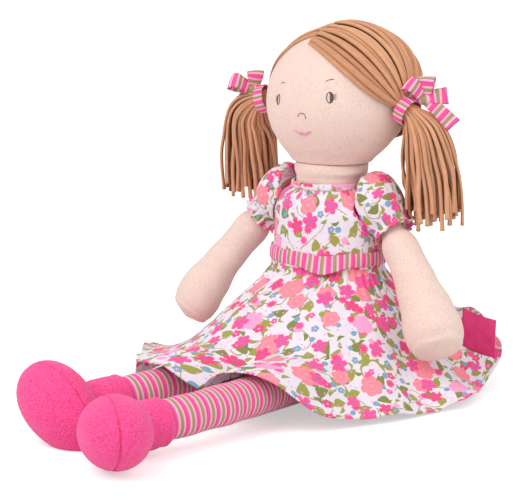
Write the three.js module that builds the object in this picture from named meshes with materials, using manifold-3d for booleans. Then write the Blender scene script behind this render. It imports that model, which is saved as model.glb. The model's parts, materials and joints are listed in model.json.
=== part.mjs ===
// A seated cloth rag doll. Lengths are in millimetres, +Z is up, the doll faces -Y and its left is +X.
// The origin is on the floor under the middle of its seat.
import * as THREE from 'three';
import { mergeVertices } from 'three/addons/utils/BufferGeometryUtils.js';
import Module from 'manifold-3d';

// Cloth, clearances and cuts
const clothWall = 1.2;
const clearance = 0.35;
const cutOverrun = 30;
const floorLift = 0.4;

// Torso: a stuffed bag that leans back a little
const torsoHeight = 112;
const torsoHalfWidth = 38;
const torsoDepthShare = 0.8;
const torsoLean = 5;
const torsoShares = [
  [0, 0.66], [0.04, 0.86], [0.14, 0.98], [0.26, 1], [0.42, 0.94], [0.55, 0.87], [0.64, 0.84],
  [0.78, 0.83], [0.88, 0.82], [0.95, 0.7], [1, 0.48],
];

// Dress
const waistHeight = 68;
const necklineHeight = 110;
const sashWidth = 7.2;
const bindingWidth = 3.6;
const bindingWall = 1.4;
const bindingGap = 0.9;
const closureWidth = 7;
const closureWall = 1;

// Skirt: a gathered cone that stands on its hem and is raised over the thighs
const hemRadius = 104;
const hemMiddle = -3;
const hemReach = 24;
const hemLifts = [[58, 31, 34], [220, 15, 28], [247, 12, 14]];
const armDents = [[192, 10, 24], [350, 6, 24]];
const skirtWall = 1.3;
const skirtProfileShares = [
  [0, 1], [0.02, 0.93], [0.11, 0.84], [0.24, 0.73], [0.39, 0.58], [0.52, 0.43],
  [0.64, 0.29], [0.76, 0.18], [0.88, 0.085], [1, 0],
];
const foldDepth = 6;
const foldCount = 9;
const foldPhase = 40;
const fineFoldShare = 0.35;
const fineFoldCount = 13;
const foldGrowth = 1.4;
const foldOutShare = 0.7;
const foldUpShare = 0.6;
const waistHoldShares = [0.7, 0.95];
const thighCover = 2.6;
const thighFall = 30;

// Neck
const neckRadius = 19.6;
const neckBallRadius = 20.2;
const neckBallDepth = 12;
const neckPivotHeight = 108;
const neckTopHeight = 123.8;
const neckClearance = 1.1;

// Head
const headHalfWidth = 43.2;
const headHeight = 74;
const headDepthShare = 0.87;
const headBack = 6;
const headMiddleShare = 0.51;
const headShares = [
  [0, 0.51], [0.05, 0.61], [0.14, 0.755], [0.26, 0.895], [0.38, 0.975], [0.51, 1], [0.63, 0.975],
  [0.75, 0.88], [0.85, 0.73], [0.93, 0.53], [0.98, 0.3], [1, 0.06],
];
const headSeamBack = 3;
const headSide = 1.4;

// Hair: jersey strips sewn along a parting, drawn to a tie on each side
const partingOffset = 6.5;
const partingStart = 39;
const partingEnd = -128;
const partingGap = 0.4;
const hairThickness = 2;
const strandRelief = 1.6;
const hairSwell = [3.4, 0.6];
const hairSwellGrowth = 1.5;
const hairEdgeShare = 0.5;
const capStrands = 9;
const capRows = 7;
const tieOut = 45.5;
const tieSide = 1;
const tieHeight = 156.5;
const tieForward = 6;
const tieBallRadius = 10;

// Pigtails
const pigtailDrop = [67, 60];
const pigtailOut = [13.5, 22];
const pigtailBack = 13;
const pigtailRadius = 18.5;
const pigtailDepthShare = 0.78;
const pigtailRouteShares = [[0, 0, 0], [0.3, 0.02, 0.03], [0.72, 0.3, 0.16], [0.92, 0.75, 0.5], [1, 1, 1]];
const pigtailWidthShares = [
  [0, 0.3], [0.02, 0.34], [0.095, 0.34], [0.15, 0.5], [0.22, 0.66], [0.33, 0.8], [0.5, 0.93],
  [0.75, 1], [1, 1],
];
const pigtailFlutes = 12;
const fluteDepthShare = 0.14;
const ragEndShare = 0.09;
const ragTurn = 1.7;
const ragGrowth = 6;

// Ribbons
const ribbonWidth = 9;
const ribbonWall = 0.9;
const wrapLength = 5.4;
const wrapStart = 0.7;
const knotRadius = 4;
const loopLength = 14;
const loopHeight = 8.5;
const tailLength = 20;
const bowOut = 9.5;
const bowBack = [5, -0.5];
const bowRise = [6.6, 5.8];

// Arms and sleeves
const shoulderOut = 28;
const shoulderHeight = 105.5;
const armholeOut = 26;
const armholeRadius = 17.2;
const armholeFlare = [[0, 0], [9, 5], [9.6, 26], [60, 26]];
const upperArmLength = 52;
const lowerArmLength = 51;
const upperArmSplay = [43, 48];
const upperArmSwing = [11, 11];
const lowerArmSplay = [31, 21];
const lowerArmSwing = [25, 25];
const armRadius = 10;
const armShares = [
  [0, 0.7], [0.04, 0.95], [0.12, 0.88], [0.19, 0.67], [0.24, 0.67], [0.3, 0.94], [0.45, 1.05],
  [0.6, 1.22], [0.74, 1.46], [0.86, 1.61], [0.93, 1.44], [0.975, 1.02], [1, 0.45],
];
const handFlatShare = 0.74;
const handFlatRun = [0.3, 0.6];
const handTurn = 53;
const sleeveRadius = 15.6;
const sleeveLength = 25;
const sleeveRise = 11;
const sleeveShares = [
  [0, 0.5], [0.06, 0.76], [0.17, 0.94], [0.32, 1], [0.52, 0.99], [0.7, 0.88], [0.83, 0.7],
  [0.88, 0.64], [0.93, 0.64], [1, 0.75],
];
const sleeveCasingShare = 0.905;
const elasticWall = 0.8;

// Legs
const hipOut = 25;
const hipHeight = 12.6;
const hipBack = [-19, 5];
const hipSway = 6.5;
const hipRoomSlope = 0.13;
const thighLength = 105;
const shinLength = 57;
const thighSway = [12.5, 13.5];
const thighRise = 4.5;
const shinSway = [-18, -17];
const shinRise = -4;
const legRadius = 10.8;
const hipTuckShare = 0.9;
const liningShare = 0.97;
const legShares = [[0, 0.5], [0.018, 0.8], [0.05, 0.98], [0.3, 1], [0.7, 0.98], [1, 0.95]];

// Shoes: a shaft sewn to the stocking, and a foot that turns on the shaft's round end
const shaftLength = 16;
const shaftRadius = 12.2;
const shaftShares = [[0, 0.92], [0.2, 1.02], [0.6, 1.02], [1, 1]];
const footHalfLength = 28;
const footHalfWidth = 20.5;
const footHalfHeight = 19.5;
const footAhead = [19, 3];
const footBelow = [17, 25];
const footTurn = [33, 2];
const footRoll = [78, 50];
const footSoleShare = 0.2;
const ankleSwing = 15;
const ankleRoomShare = 1.02;
const ankleGap = 0.9;
const heelTaperShare = 0.22;

// Label tab in the skirt seam
const labelWidth = 17;
const labelHeight = 20;
const labelWall = 1.2;
const labelTurn = 25;
const labelPlaceShare = 0.83;
const labelLean = 6;

// Mesh fineness
const headSides = 18;
const torsoSides = 16;
const limbSides = 12;
const ringSides = 16;
const cutSides = 12;
const skirtSides = 50;

const origin = new THREE.Vector3();
const upward = new THREE.Vector3(0, 0, 1);
const forward = new THREE.Vector3(0, 1, 0);
const sides = [{ name: 'left', out: 1, index: 0 }, { name: 'right', out: -1, index: 1 }];
const radians = THREE.MathUtils.degToRad;

const wasm = await Module();
wasm.setup();

// Six times the volume inside a run of faces: it is negative where they point inward
function signedVolume(position, faces) {
  const [a, b, c] = [new THREE.Vector3(), new THREE.Vector3(), new THREE.Vector3()];
  let volume = 0;
  for (let i = 0; i < faces.length; i += 3) {
    a.fromBufferAttribute(position, faces[i]);
    b.fromBufferAttribute(position, faces[i + 1]);
    c.fromBufferAttribute(position, faces[i + 2]);
    volume += a.dot(b.cross(c));
  }
  return volume;
}

// A solid from a closed geometry: shared points merged, empty faces dropped, faces pointing out
function solid(geometry) {
  const bare = geometry.clone();
  bare.deleteAttribute('normal');
  bare.deleteAttribute('uv');
  const merged = mergeVertices(bare);
  const faces = [];
  for (let i = 0; i < merged.index.count; i += 3) {
    const corners = [0, 1, 2].map((k) => merged.index.getX(i + k));
    if (new Set(corners).size === 3) faces.push(...corners);
  }
  if (signedVolume(merged.attributes.position, faces) < 0) faces.reverse();
  return new wasm.Manifold(new wasm.Mesh({
    numProp: 3,
    vertProperties: new Float32Array(merged.attributes.position.array),
    triVerts: new Uint32Array(faces),
  }));
}

// The largest of the bodies that a cut leaves
function largest(body) {
  return body.decompose().sort((a, b) => b.volume() - a.volume())[0];
}

function geometryOf(body) {
  const mesh = body.getMesh();
  const geometry = new THREE.BufferGeometry();
  geometry.setAttribute('position', new THREE.BufferAttribute(new Float32Array(mesh.vertProperties), 3));
  geometry.setIndex(new THREE.BufferAttribute(new Uint32Array(mesh.triVerts), 1));
  return geometry;
}

function geometryFrom(points, faces) {
  const geometry = new THREE.BufferGeometry().setFromPoints(points);
  geometry.setIndex(faces);
  return geometry;
}

// The linear value of a table of [place, value] pairs at a place
function lookUp(table, place) {
  const next = Math.max(1, table.findIndex(([start]) => start >= place));
  const [[a, from], [b, to]] = [table[next - 1], table[next]];
  return from + (to - from) * (place - a) / (b - a);
}

// A closed solid over rings of equal numbers of points, with a fan over each end
function loft(rings) {
  const count = rings[0].length;
  const points = rings.flat();
  const faces = [];
  for (let i = 0; i < rings.length - 1; i += 1) {
    for (let j = 0; j < count; j += 1) {
      const k = (j + 1) % count;
      const [a, b, c, d] = [i * count + j, i * count + k, (i + 1) * count + k, (i + 1) * count + j];
      faces.push(a, b, c, a, c, d);
    }
  }
  const last = (rings.length - 1) * count;
  for (const [start, turned] of [[0, true], [last, false]]) {
    const centre = points.length;
    const ring = points.slice(start, start + count);
    points.push(ring.reduce((sum, point) => sum.add(point), new THREE.Vector3()).divideScalar(count));
    for (let j = 0; j < count; j += 1) {
      const [a, b] = [start + j, start + (j + 1) % count];
      faces.push(centre, turned ? b : a, turned ? a : b);
    }
  }
  return solid(geometryFrom(points, faces));
}

// A closed sheet between two grids of points, joined along its open edges
function sheet(outer, inner, around) {
  const [rows, columns] = [outer.length, outer[0].length];
  const points = [...outer.flat(), ...inner.flat()];
  const under = rows * columns;
  const at = (i, j) => i * columns + j % columns;
  const faces = [];
  const quad = (a, b, c, d) => faces.push(a, b, c, a, c, d);
  const lastColumn = around ? columns : columns - 1;
  for (let i = 0; i < rows - 1; i += 1) {
    for (let j = 0; j < lastColumn; j += 1) {
      const corners = [at(i, j), at(i, j + 1), at(i + 1, j + 1), at(i + 1, j)];
      quad(...corners);
      quad(...corners.map((corner) => corner + under).reverse());
    }
  }
  for (let j = 0; j < lastColumn; j += 1) {
    quad(at(0, j + 1), at(0, j), at(0, j) + under, at(0, j + 1) + under);
    quad(at(rows - 1, j), at(rows - 1, j + 1), at(rows - 1, j + 1) + under, at(rows - 1, j) + under);
  }
  for (let i = 0; i < rows - 1 && !around; i += 1) {
    const end = columns - 1;
    quad(at(i, 0), at(i + 1, 0), at(i + 1, 0) + under, at(i, 0) + under);
    quad(at(i + 1, end), at(i, end), at(i, end) + under, at(i + 1, end) + under);
  }
  return solid(geometryFrom(points, faces));
}

// A solid of revolution about the Z axis from [radius, height] pairs
function turned(profile, count) {
  const points = profile.map(([radius, height]) => new THREE.Vector2(radius, height));
  return new THREE.LatheGeometry(points, count).rotateX(Math.PI / 2);
}

// The same profile closed onto the axis at both ends
function turnedSolid(profile, count) {
  const [first, last] = [profile[0], profile[profile.length - 1]];
  return turned([[0, first[1]], ...profile, [0, last[1]]], count);
}

function ball(radius, centre, count = cutSides) {
  const geometry = new THREE.SphereGeometry(radius, count, count / 2);
  return solid(geometry.translate(centre.x, centre.y, centre.z));
}

function box(low, high) {
  const size = high.clone().sub(low);
  const middle = low.clone().add(high).multiplyScalar(0.5);
  return solid(new THREE.BoxGeometry(size.x, size.y, size.z).translate(middle.x, middle.y, middle.z));
}

// Turns a geometry whose axis is +Z onto a direction and carries it to a place
function aimed(geometry, direction, place) {
  const turn = new THREE.Quaternion().setFromUnitVectors(upward, direction.clone().normalize());
  return geometry.applyQuaternion(turn).translate(place.x, place.y, place.z);
}

// Rings square to a route: each pair of shares is how far along a ring lies and how wide it is.
// The inset draws the shape in on every side.
function limb(route, radius, widthShares, inset = 0, reference = forward, thin = null) {
  const length = route.getLength();
  const rings = widthShares.map(([alongShare, wideShare]) => {
    const place = THREE.MathUtils.clamp((inset + alongShare * (length - 2 * inset)) / length, 0, 1);
    const centre = route.getPointAt(place);
    const tangent = route.getTangentAt(place);
    const across = reference.clone().cross(tangent).normalize();
    const rise = tangent.clone().cross(across);
    return Array.from({ length: limbSides }, (_, j) => {
      const angle = (2 * Math.PI * j) / limbSides;
      const size = radius * wideShare - inset;
      const away = across.clone().multiplyScalar(size * Math.cos(angle))
        .addScaledVector(rise, size * Math.sin(angle));
      if (thin) {
        const flat = 1 - (1 - handFlatShare) * THREE.MathUtils.smoothstep(alongShare, ...handFlatRun);
        away.addScaledVector(thin, away.dot(thin) * (flat - 1));
      }
      return centre.clone().add(away);
    });
  });
  return loft(rings);
}

const root = new THREE.Group();

function material(color, roughness) {
  return new THREE.MeshStandardMaterial({ color, roughness, metalness: 0 });
}

// A group for one moving body, placed at the pivot that it turns about
function bodyAt(parent, pivot) {
  const group = new THREE.Group();
  group.position.copy(pivot);
  if (parent !== root) group.position.sub(parent.userData.pivot);
  group.userData.pivot = pivot;
  parent.add(group);
  return group;
}

function addPiece(group, name, body, look) {
  const pivot = group.userData.pivot ?? origin;
  const geometry = geometryOf(body).translate(-pivot.x, -pivot.y, -pivot.z);
  geometry.computeVertexNormals();
  const mesh = new THREE.Mesh(geometry, look);
  mesh.name = name;
  group.add(mesh);
}

const skinLook = () => material(0xf6dac8, 0.95);
const fillingLook = () => material(0xfafaf5, 1);
const cottonLook = () => material(0xf3d3e2, 0.9);
const ribbonLook = () => material(0xe8488c, 0.85);
const hairLook = () => material(0xc48c5f, 0.9);
const stockingLook = () => material(0xd9568e, 0.9);
const fleeceLook = () => material(0xf0328c, 1);

// Torso and bodice

const leanSlope = Math.tan(radians(torsoLean));
const leanMatrix = new THREE.Matrix4().makeShear(0, 0, 0, 0, 0, leanSlope);

function torsoMiddle(height) {
  return height * leanSlope;
}

function torsoRadius(height) {
  return torsoHalfWidth * lookUp(torsoShares, height / torsoHeight);
}

// The torso's form between two heights, widened by an offset and leaning back
function torsoForm(offset, low, high, count = torsoSides) {
  const between = torsoShares.map(([share]) => share * torsoHeight).filter((z) => z > low && z < high);
  const profile = [low, ...between, high].map((z) => [torsoRadius(z) + offset, z]);
  const geometry = turnedSolid(profile, count).scale(1, torsoDepthShare, 1);
  return geometry.applyMatrix4(leanMatrix);
}

const neckPivot = new THREE.Vector3(0, torsoMiddle(neckPivotHeight), neckPivotHeight);
const shoulders = sides.map(({ out }) => (
  new THREE.Vector3(out * shoulderOut, torsoMiddle(shoulderHeight), shoulderHeight)
));

// Room for the neck's ball and for the neck above it
const neckRoomRadius = neckBallRadius + neckClearance;
const neckRoom = ball(neckRoomRadius, neckPivot, torsoSides).add(solid(aimed(
  turnedSolid([[neckRoomRadius, 0], [neckRoomRadius, cutOverrun]], torsoSides),
  upward,
  neckPivot,
)));

// Room for a leg that turns from lying ahead to hanging down: its profile, widened and swept
function hipRoom(side, growth) {
  const reach = legRadius + clearance + growth;
  const far = legRadius + cutOverrun * 3;
  const profile = new THREE.Shape();
  profile.moveTo(-far, reach + far * hipRoomSlope);
  profile.lineTo(0, reach);
  profile.absarc(0, 0, reach, Math.PI / 2, 0, true);
  profile.lineTo(reach, -far);
  profile.lineTo(-far, -far);
  const depth = 2 * reach + hipSway;
  const options = { depth, bevelEnabled: false, curveSegments: limbSides / 3 };
  const slab = new THREE.ExtrudeGeometry(profile, options);
  const hip = hips[side.index];
  const turn = new THREE.Matrix4().makeBasis(
    new THREE.Vector3(0, 1, 0),
    new THREE.Vector3(0, 0, 1),
    new THREE.Vector3(1, 0, 0),
  );
  return solid(slab.applyMatrix4(turn).translate(hip.x - reach, hip.y, hip.z));
}

const hips = sides.map(({ out, index }) => new THREE.Vector3(out * hipOut, hipBack[index], hipHeight));

// Room for the shoulder end of an arm, outside the armhole seam. It flares away from the torso.
function armholeRoom({ out, index }, growth) {
  const shoulder = shoulders[index];
  const profile = armholeFlare.map(([away, wider]) => [armholeRadius + wider + growth, away]);
  const place = new THREE.Vector3(out * (armholeOut - growth), shoulder.y, shoulder.z);
  return solid(aimed(turnedSolid(profile, torsoSides), new THREE.Vector3(out, 0, 0), place));
}

// The torso's form without the room for its limbs
function cutForLimbs(body, growth) {
  return sides.reduce((rest, side) => (
    rest.subtract(armholeRoom(side, growth)).subtract(hipRoom(side, growth))
  ), body);
}

// The skin opens at the neck, where the neck's own skin is sewn on
function addTorso() {
  const seam = clearance;
  const cavityForm = solid(torsoForm(-clothWall, clothWall, torsoHeight - clothWall));
  const cavity = cutForLimbs(cavityForm, seam + clothWall);
  const skin = cutForLimbs(solid(torsoForm(0, 0, torsoHeight)), seam).subtract(neckRoom).subtract(cavity);
  addPiece(root, 'torso_skin', skin, skinLook());
  const inset = clothWall + clearance;
  const filling = cutForLimbs(solid(torsoForm(-inset, inset, torsoHeight - inset)), seam + inset);
  addPiece(root, 'torso_filling', filling.subtract(neckRoom), fillingLook());
}

const bodiceLow = waistHeight + clearance / 2;
const bodiceOffset = clearance + clothWall;

function addBodice() {
  const whole = solid(torsoForm(bodiceOffset, bodiceLow, necklineHeight))
    .subtract(solid(torsoForm(clearance, 0, torsoHeight)))
    .subtract(neckRoom);
  const fitted = sides.reduce((body, side) => body.subtract(armholeRoom(side, clearance)), whole);
  const seam = torsoMiddle(waistHeight) + clearance;
  const reach = torsoHalfWidth + cutOverrun;
  const frontRoom = box(
    new THREE.Vector3(-reach, -reach, 0),
    new THREE.Vector3(reach, seam, torsoHeight),
  );
  const backRoom = box(
    new THREE.Vector3(-reach, seam + clearance, 0),
    new THREE.Vector3(reach, reach, torsoHeight),
  );
  addPiece(root, 'bodice_front', fitted.intersect(frontRoom), cottonLook());
  addPiece(root, 'bodice_back', fitted.intersect(backRoom), cottonLook());

  const closureOffset = bodiceOffset + clearance;
  const closureTop = necklineHeight - bindingWidth * 2;
  const strip = box(
    new THREE.Vector3(-closureWidth / 2, torsoMiddle(waistHeight), bodiceLow + sashWidth + clearance),
    new THREE.Vector3(closureWidth / 2, reach, closureTop),
  );
  const closure = solid(torsoForm(closureOffset + closureWall, bodiceLow, necklineHeight))
    .subtract(solid(torsoForm(closureOffset, 0, torsoHeight)))
    .intersect(strip);
  addPiece(root, 'back_closure', closure, cottonLook());
}

// A band round the torso's form, between two offsets and two heights
function torsoBand(offset, wall, low, high) {
  const outer = solid(torsoForm(offset + wall, low, high));
  return outer.subtract(solid(torsoForm(offset, low - cutOverrun / 10, high + cutOverrun / 10)));
}

function addTrim() {
  const bindingRadius = neckBallRadius + bindingGap;
  const half = bindingWidth / 2;
  const profile = [
    [bindingRadius, -half], [bindingRadius + bindingWall, -half], [bindingRadius + bindingWall, half],
    [bindingRadius, half], [bindingRadius, -half],
  ];
  const place = new THREE.Vector3(0, neckPivot.y, necklineHeight + half + clearance);
  addPiece(root, 'neckline_binding', solid(aimed(turned(profile, ringSides), upward, place)), cottonLook());
  const sash = torsoBand(bodiceOffset + clearance, clothWall, bodiceLow, bodiceLow + sashWidth);
  addPiece(root, 'waist_sash', sash, ribbonLook());
}

// Skirt

// A level direction turned from straight ahead towards +X, then raised
function aheadDirection(sway, rise) {
  const [a, b] = [radians(sway), radians(rise)];
  return new THREE.Vector3(Math.sin(a) * Math.cos(b), -Math.cos(a) * Math.cos(b), Math.sin(b));
}

// The middle line of each leg, from behind its hip to its cuff
const legLines = hips.map((hip, index) => {
  const thigh = aheadDirection(thighSway[index], thighRise);
  const shin = aheadDirection(shinSway[index], shinRise);
  const start = hip.clone().addScaledVector(thigh, -legRadius * hipTuckShare);
  const knee = hip.clone().addScaledVector(thigh, thighLength);
  const cuff = knee.clone().addScaledVector(shin, shinLength);
  return { shin, cuff, route: new THREE.QuadraticBezierCurve3(start, knee, cuff) };
});
const legStops = legLines.flatMap(({ route }) => route.getSpacedPoints(limbSides * 2));

// The height that the cloth keeps over the legs at a place: it falls away smoothly beside them
function legCover(x, y) {
  const near = legStops.reduce((best, stop) => {
    const away = Math.hypot(stop.x - x, stop.y - y);
    return away < best.away ? { away, stop } : best;
  }, { away: Infinity });
  const beside = Math.max(0, near.away - legRadius / 2) / thighFall;
  return (near.stop.z + legRadius + thighCover) * Math.exp(-(beside ** 2));
}
const fullCover = hipHeight + legRadius + thighCover;

// How strongly the legs hold the hem up in a direction from the middle, 0 to 1
function thighShare(angle) {
  const [x, y] = [hemRadius * Math.cos(angle), hemRadius * Math.sin(angle)];
  return legCover(x, y) / fullCover;
}

// The sum of rounded swells round the skirt, each with a direction, a height and a spread
function swells(table, angle) {
  return table.reduce((sum, [turn, height, spread]) => {
    const away = Math.atan2(Math.sin(angle - radians(turn)), Math.cos(angle - radians(turn)));
    return sum + height * Math.exp(-((away / radians(spread)) ** 2));
  }, 0);
}

// The larger of two heights with the corner between them rounded
function eased(a, b, rounding) {
  const near = Math.max(0, rounding - Math.abs(a - b));
  return Math.max(a, b) + near ** 2 / (4 * rounding);
}

// The inner face of the skirt, a turn and a row of the profile table from waist to hem
function skirtPoint(turn, row) {
  const angle = 2 * Math.PI * turn;
  const waist = torsoRadius(waistHeight) + clearance;
  const [outShare, heightShare] = skirtProfileShares[row];
  const wave = Math.cos(foldCount * angle + radians(foldPhase) + Math.sin(3 * angle));
  const fine = Math.cos(fineFoldCount * angle);
  const fold = foldDepth * outShare ** foldGrowth * ((1 + wave) / 2 + fineFoldShare * (1 + fine) / 2);
  const rim = hemRadius - foldDepth + hemReach * thighShare(angle);
  const across = THREE.MathUtils.lerp(waist, rim, outShare) + fold * foldOutShare;
  const deep = THREE.MathUtils.lerp(waist * torsoDepthShare, rim, outShare) + fold * foldOutShare;
  const middle = THREE.MathUtils.lerp(torsoMiddle(waistHeight), hemMiddle, outShare);
  const top = waistHeight - clearance / 2;
  const low = floorLift + swells(hemLifts, angle) * outShare ** 2;
  const dent = swells(armDents, angle) * Math.sin(Math.PI * outShare);
  const draped = THREE.MathUtils.lerp(low, top, heightShare)
    + fold * foldUpShare * (1 - heightShare) - dent;
  const x = across * Math.cos(angle);
  const y = deep * Math.sin(angle) + middle;
  const cover = legCover(x, y);
  const held = eased(draped, cover - foldDepth * Math.max(0, 1 - cover / fullCover), foldDepth);
  const free = THREE.MathUtils.smoothstep(heightShare, ...waistHoldShares);
  const height = THREE.MathUtils.lerp(held, draped, free);
  return new THREE.Vector3(x, y, Math.min(height, top));
}

// The outer face: each inner point moved out along the cloth's own normal
function outerFace(inner, wall) {
  const columns = inner[0].length;
  return inner.map((row, i) => row.map((point, j) => {
    const along = inner[Math.min(i + 1, inner.length - 1)][j].clone().sub(inner[Math.max(i - 1, 0)][j]);
    const around = row[(j + 1) % columns].clone().sub(row[(j + columns - 1) % columns]);
    const normal = around.cross(along).normalize().negate();
    if (i === 0) normal.setZ(0).normalize();
    return point.clone().addScaledVector(normal, wall);
  }));
}

const skirtInner = skirtProfileShares.map((_, i) => (
  Array.from({ length: skirtSides }, (__, j) => skirtPoint(j / skirtSides, i))
));

function addSkirt() {
  addPiece(root, 'skirt', sheet(outerFace(skirtInner, skirtWall), skirtInner, true), cottonLook());
}

// A tab that stands up from the skirt's side seam, which runs from waist to hem
function addLabel() {
  const cloth = outerFace(skirtInner, skirtWall);
  const middle = labelTurn / 360 * skirtSides;
  const row = labelPlaceShare * (skirtProfileShares.length - 1);
  const alongStep = labelWidth / (hemRadius - torsoHalfWidth) * (skirtProfileShares.length - 1);
  const aside = new THREE.Vector3(-Math.sin(radians(labelTurn)), Math.cos(radians(labelTurn)), 0);
  const face = (away) => [0, 0.25, 0.5, 0.75, 1].map((rise) => [-0.5, -0.25, 0, 0.25, 0.5].map((u) => (
    gridPoint(cloth, row + u * alongStep, middle)
      .add(new THREE.Vector3(0, 0, clearance * 3 + rise * labelHeight))
      .addScaledVector(aside, away + labelLean * rise ** 2)
  )));
  addPiece(root, 'label_tab', sheet(face(labelWall / 2), face(-labelWall / 2), false), ribbonLook());
}

// The point between four neighbours of a grid at fractions of a row and a column
function gridPoint(grid, row, column) {
  const i = THREE.MathUtils.clamp(Math.floor(row), 0, grid.length - 2);
  const j = Math.floor(column);
  const [u, v] = [column - j, row - i];
  const columns = grid[0].length;
  const near = grid[i][j % columns].clone().lerp(grid[i][(j + 1) % columns], u);
  const far = grid[i + 1][j % columns].clone().lerp(grid[i + 1][(j + 1) % columns], u);
  return near.lerp(far, v);
}

// Neck

const neckBody = bodyAt(root, neckPivot);

function addNeck() {
  const ballLow = -neckBallDepth;
  const rise = neckTopHeight - neckPivotHeight - clearance / 2;
  const curve = (z) => [Math.sqrt(neckBallRadius ** 2 - z ** 2), z];
  const profile = [curve(ballLow), curve(ballLow / 2), curve(0), [neckRadius, rise / 2], [neckRadius, rise]];
  const form = (inset, top) => solid(aimed(
    turnedSolid(profile.map(([r, z], i) => [
      r - inset,
      i === profile.length - 1 ? top : Math.max(z, ballLow + inset),
    ]), torsoSides),
    upward,
    neckPivot,
  ));
  addPiece(neckBody, 'neck_skin', form(0, rise).subtract(form(clothWall, rise + cutOverrun)), skinLook());
  const inset = clothWall + clearance;
  addPiece(neckBody, 'neck_filling', form(inset, rise), fillingLook());
}

// Head

const headLow = neckTopHeight + clearance / 2;
const headMiddle = headLow + headHeight * headMiddleShare;
const headCentre = new THREE.Vector3(headSide, neckPivot.y + headBack, headMiddle);
const headSlope = headBack / (headCentre.z - headLow);
const headSideSlope = headSide / (headCentre.z - headLow);
const headPivot = new THREE.Vector3(0, neckPivot.y, neckTopHeight);
const headBody = bodyAt(neckBody, headPivot);
const ties = sides.map(({ out }) => (
  new THREE.Vector3(out * tieOut + tieSide, headCentre.y - tieForward, tieHeight)
));

// The head's form, widened by an offset. A negative offset also lifts its base, unless it stays open.
function headForm(offset, open = false) {
  const lift = open ? -clearance : Math.max(0, -offset);
  const drop = Math.min(0, offset);
  const profile = headShares.map(([share, wide]) => [
    Math.max(headHalfWidth * wide + offset, clearance),
    headLow + lift + share * (headHeight + drop - lift) + Math.max(0, offset) * share,
  ]);
  const geometry = turnedSolid(profile, headSides).scale(1, headDepthShare, 1);
  geometry.translate(0, 0, -headCentre.z);
  geometry.applyMatrix4(new THREE.Matrix4().makeShear(0, 0, 0, 0, headSideSlope, headSlope));
  return solid(geometry.translate(headCentre.x, headCentre.y, headCentre.z));
}

const tieRooms = ties.map((tie) => ball(tieBallRadius + clearance, tie));

function addHead() {
  const carve = (body, rooms) => rooms.reduce((rest, room) => rest.subtract(room), body);
  const skin = carve(headForm(0), tieRooms).subtract(headForm(-clothWall, true));
  const seam = headCentre.y + headSeamBack;
  const reach = headHalfWidth + cutOverrun;
  const low = headLow - cutOverrun;
  const high = headLow + headHeight + cutOverrun;
  const far = new THREE.Vector3(reach, reach * 2, high);
  const front = box(new THREE.Vector3(-reach, -reach, low), new THREE.Vector3(reach, seam, high));
  const back = box(new THREE.Vector3(-reach, seam + clearance, low), far);
  addPiece(headBody, 'head_face', skin.intersect(front), skinLook());
  addPiece(headBody, 'head_back', skin.intersect(back), skinLook());
  const inset = clothWall + clearance;
  const fillingRooms = ties.map((tie) => ball(tieBallRadius + inset, tie));
  addPiece(headBody, 'head_filling', carve(headForm(-inset), fillingRooms), fillingLook());
}

// The point over the head in a direction, at a lift above its skin
function overHead(direction, lift) {
  const height = headHeight * (1 - headMiddleShare) + lift;
  return new THREE.Vector3(
    direction.x * (headHalfWidth + lift) + direction.z * height * headSideSlope,
    direction.y * (headHalfWidth * headDepthShare + lift) + direction.z * height * headSlope,
    direction.z * height,
  ).add(headCentre);
}

function headDirection(point) {
  const away = point.clone().sub(headCentre);
  return new THREE.Vector3(
    (away.x - away.z * headSideSlope) / headHalfWidth,
    (away.y - away.z * headSlope) / (headHalfWidth * headDepthShare),
    away.z / (headHeight * (1 - headMiddleShare)),
  ).normalize();
}

// Strips run from the parting to the tie over the head, each with a rounded back
function addCap({ name, out, index }) {
  const tieDirection = headDirection(ties[index]);
  const columns = 2 * capStrands + 1;
  const grid = (liftOf) => Array.from({ length: capRows + 1 }, (_, i) => (
    Array.from({ length: columns }, (__, j) => {
      const turn = radians(THREE.MathUtils.lerp(partingStart, partingEnd, j / (columns - 1)));
      const offset = (-partingOffset + out * partingGap) / headHalfWidth;
      const start = new THREE.Vector3(offset, -Math.sin(turn), Math.cos(turn)).normalize();
      const angle = start.angleTo(tieDirection);
      const share = i / capRows;
      const from = Math.sin((1 - share) * angle) / Math.sin(angle);
      const to = Math.sin(share * angle) / Math.sin(angle);
      const direction = start.multiplyScalar(from).addScaledVector(tieDirection, to);
      return overHead(direction, liftOf(share, j));
    })
  ));
  const outer = grid((share, j) => {
    const swell = hairThickness + hairSwell[index] * share ** hairSwellGrowth;
    return swell * (j ? 1 : hairEdgeShare) + (j % 2 ? strandRelief : 0);
  });
  const inner = grid(() => -hairThickness);
  const bowPlace = ties[index].clone();
  bowPlace.x += out * (bowOut - ribbonWidth / 2 - clearance);
  const bowProfile = [[loopLength + knotRadius, 0], [loopLength + knotRadius, cutOverrun]];
  const bowRoom = solid(aimed(turnedSolid(bowProfile, cutSides), new THREE.Vector3(out, 0, 0), bowPlace));
  const cap = sheet(outer, inner, false).subtract(headForm(clearance)).subtract(tieRooms[index])
    .subtract(bowRoom);
  addPiece(headBody, `hair_${name}`, cap, hairLook());
}

// Pigtails and ribbons

function limbDirection(out, splay, swing) {
  const [a, b] = [radians(splay), radians(swing)];
  return new THREE.Vector3(out * Math.sin(a), -Math.cos(a) * Math.sin(b), -Math.cos(a) * Math.cos(b));
}

// The puffed sleeve's form, widened by an offset and lengthened past its frill
function sleeveForm({ out, index }, offset, open) {
  const upper = limbDirection(out, upperArmSplay[index], upperArmSwing[index]);
  const start = shoulders[index].clone().addScaledVector(upper, -sleeveRise);
  const profile = sleeveShares.map(([along, wide], i) => {
    const last = i === sleeveShares.length - 1;
    return [sleeveRadius * wide + offset, along * (sleeveRise + sleeveLength) + (last ? open : 0)];
  });
  return solid(aimed(turnedSolid(profile, torsoSides), upper, start));
}

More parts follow.
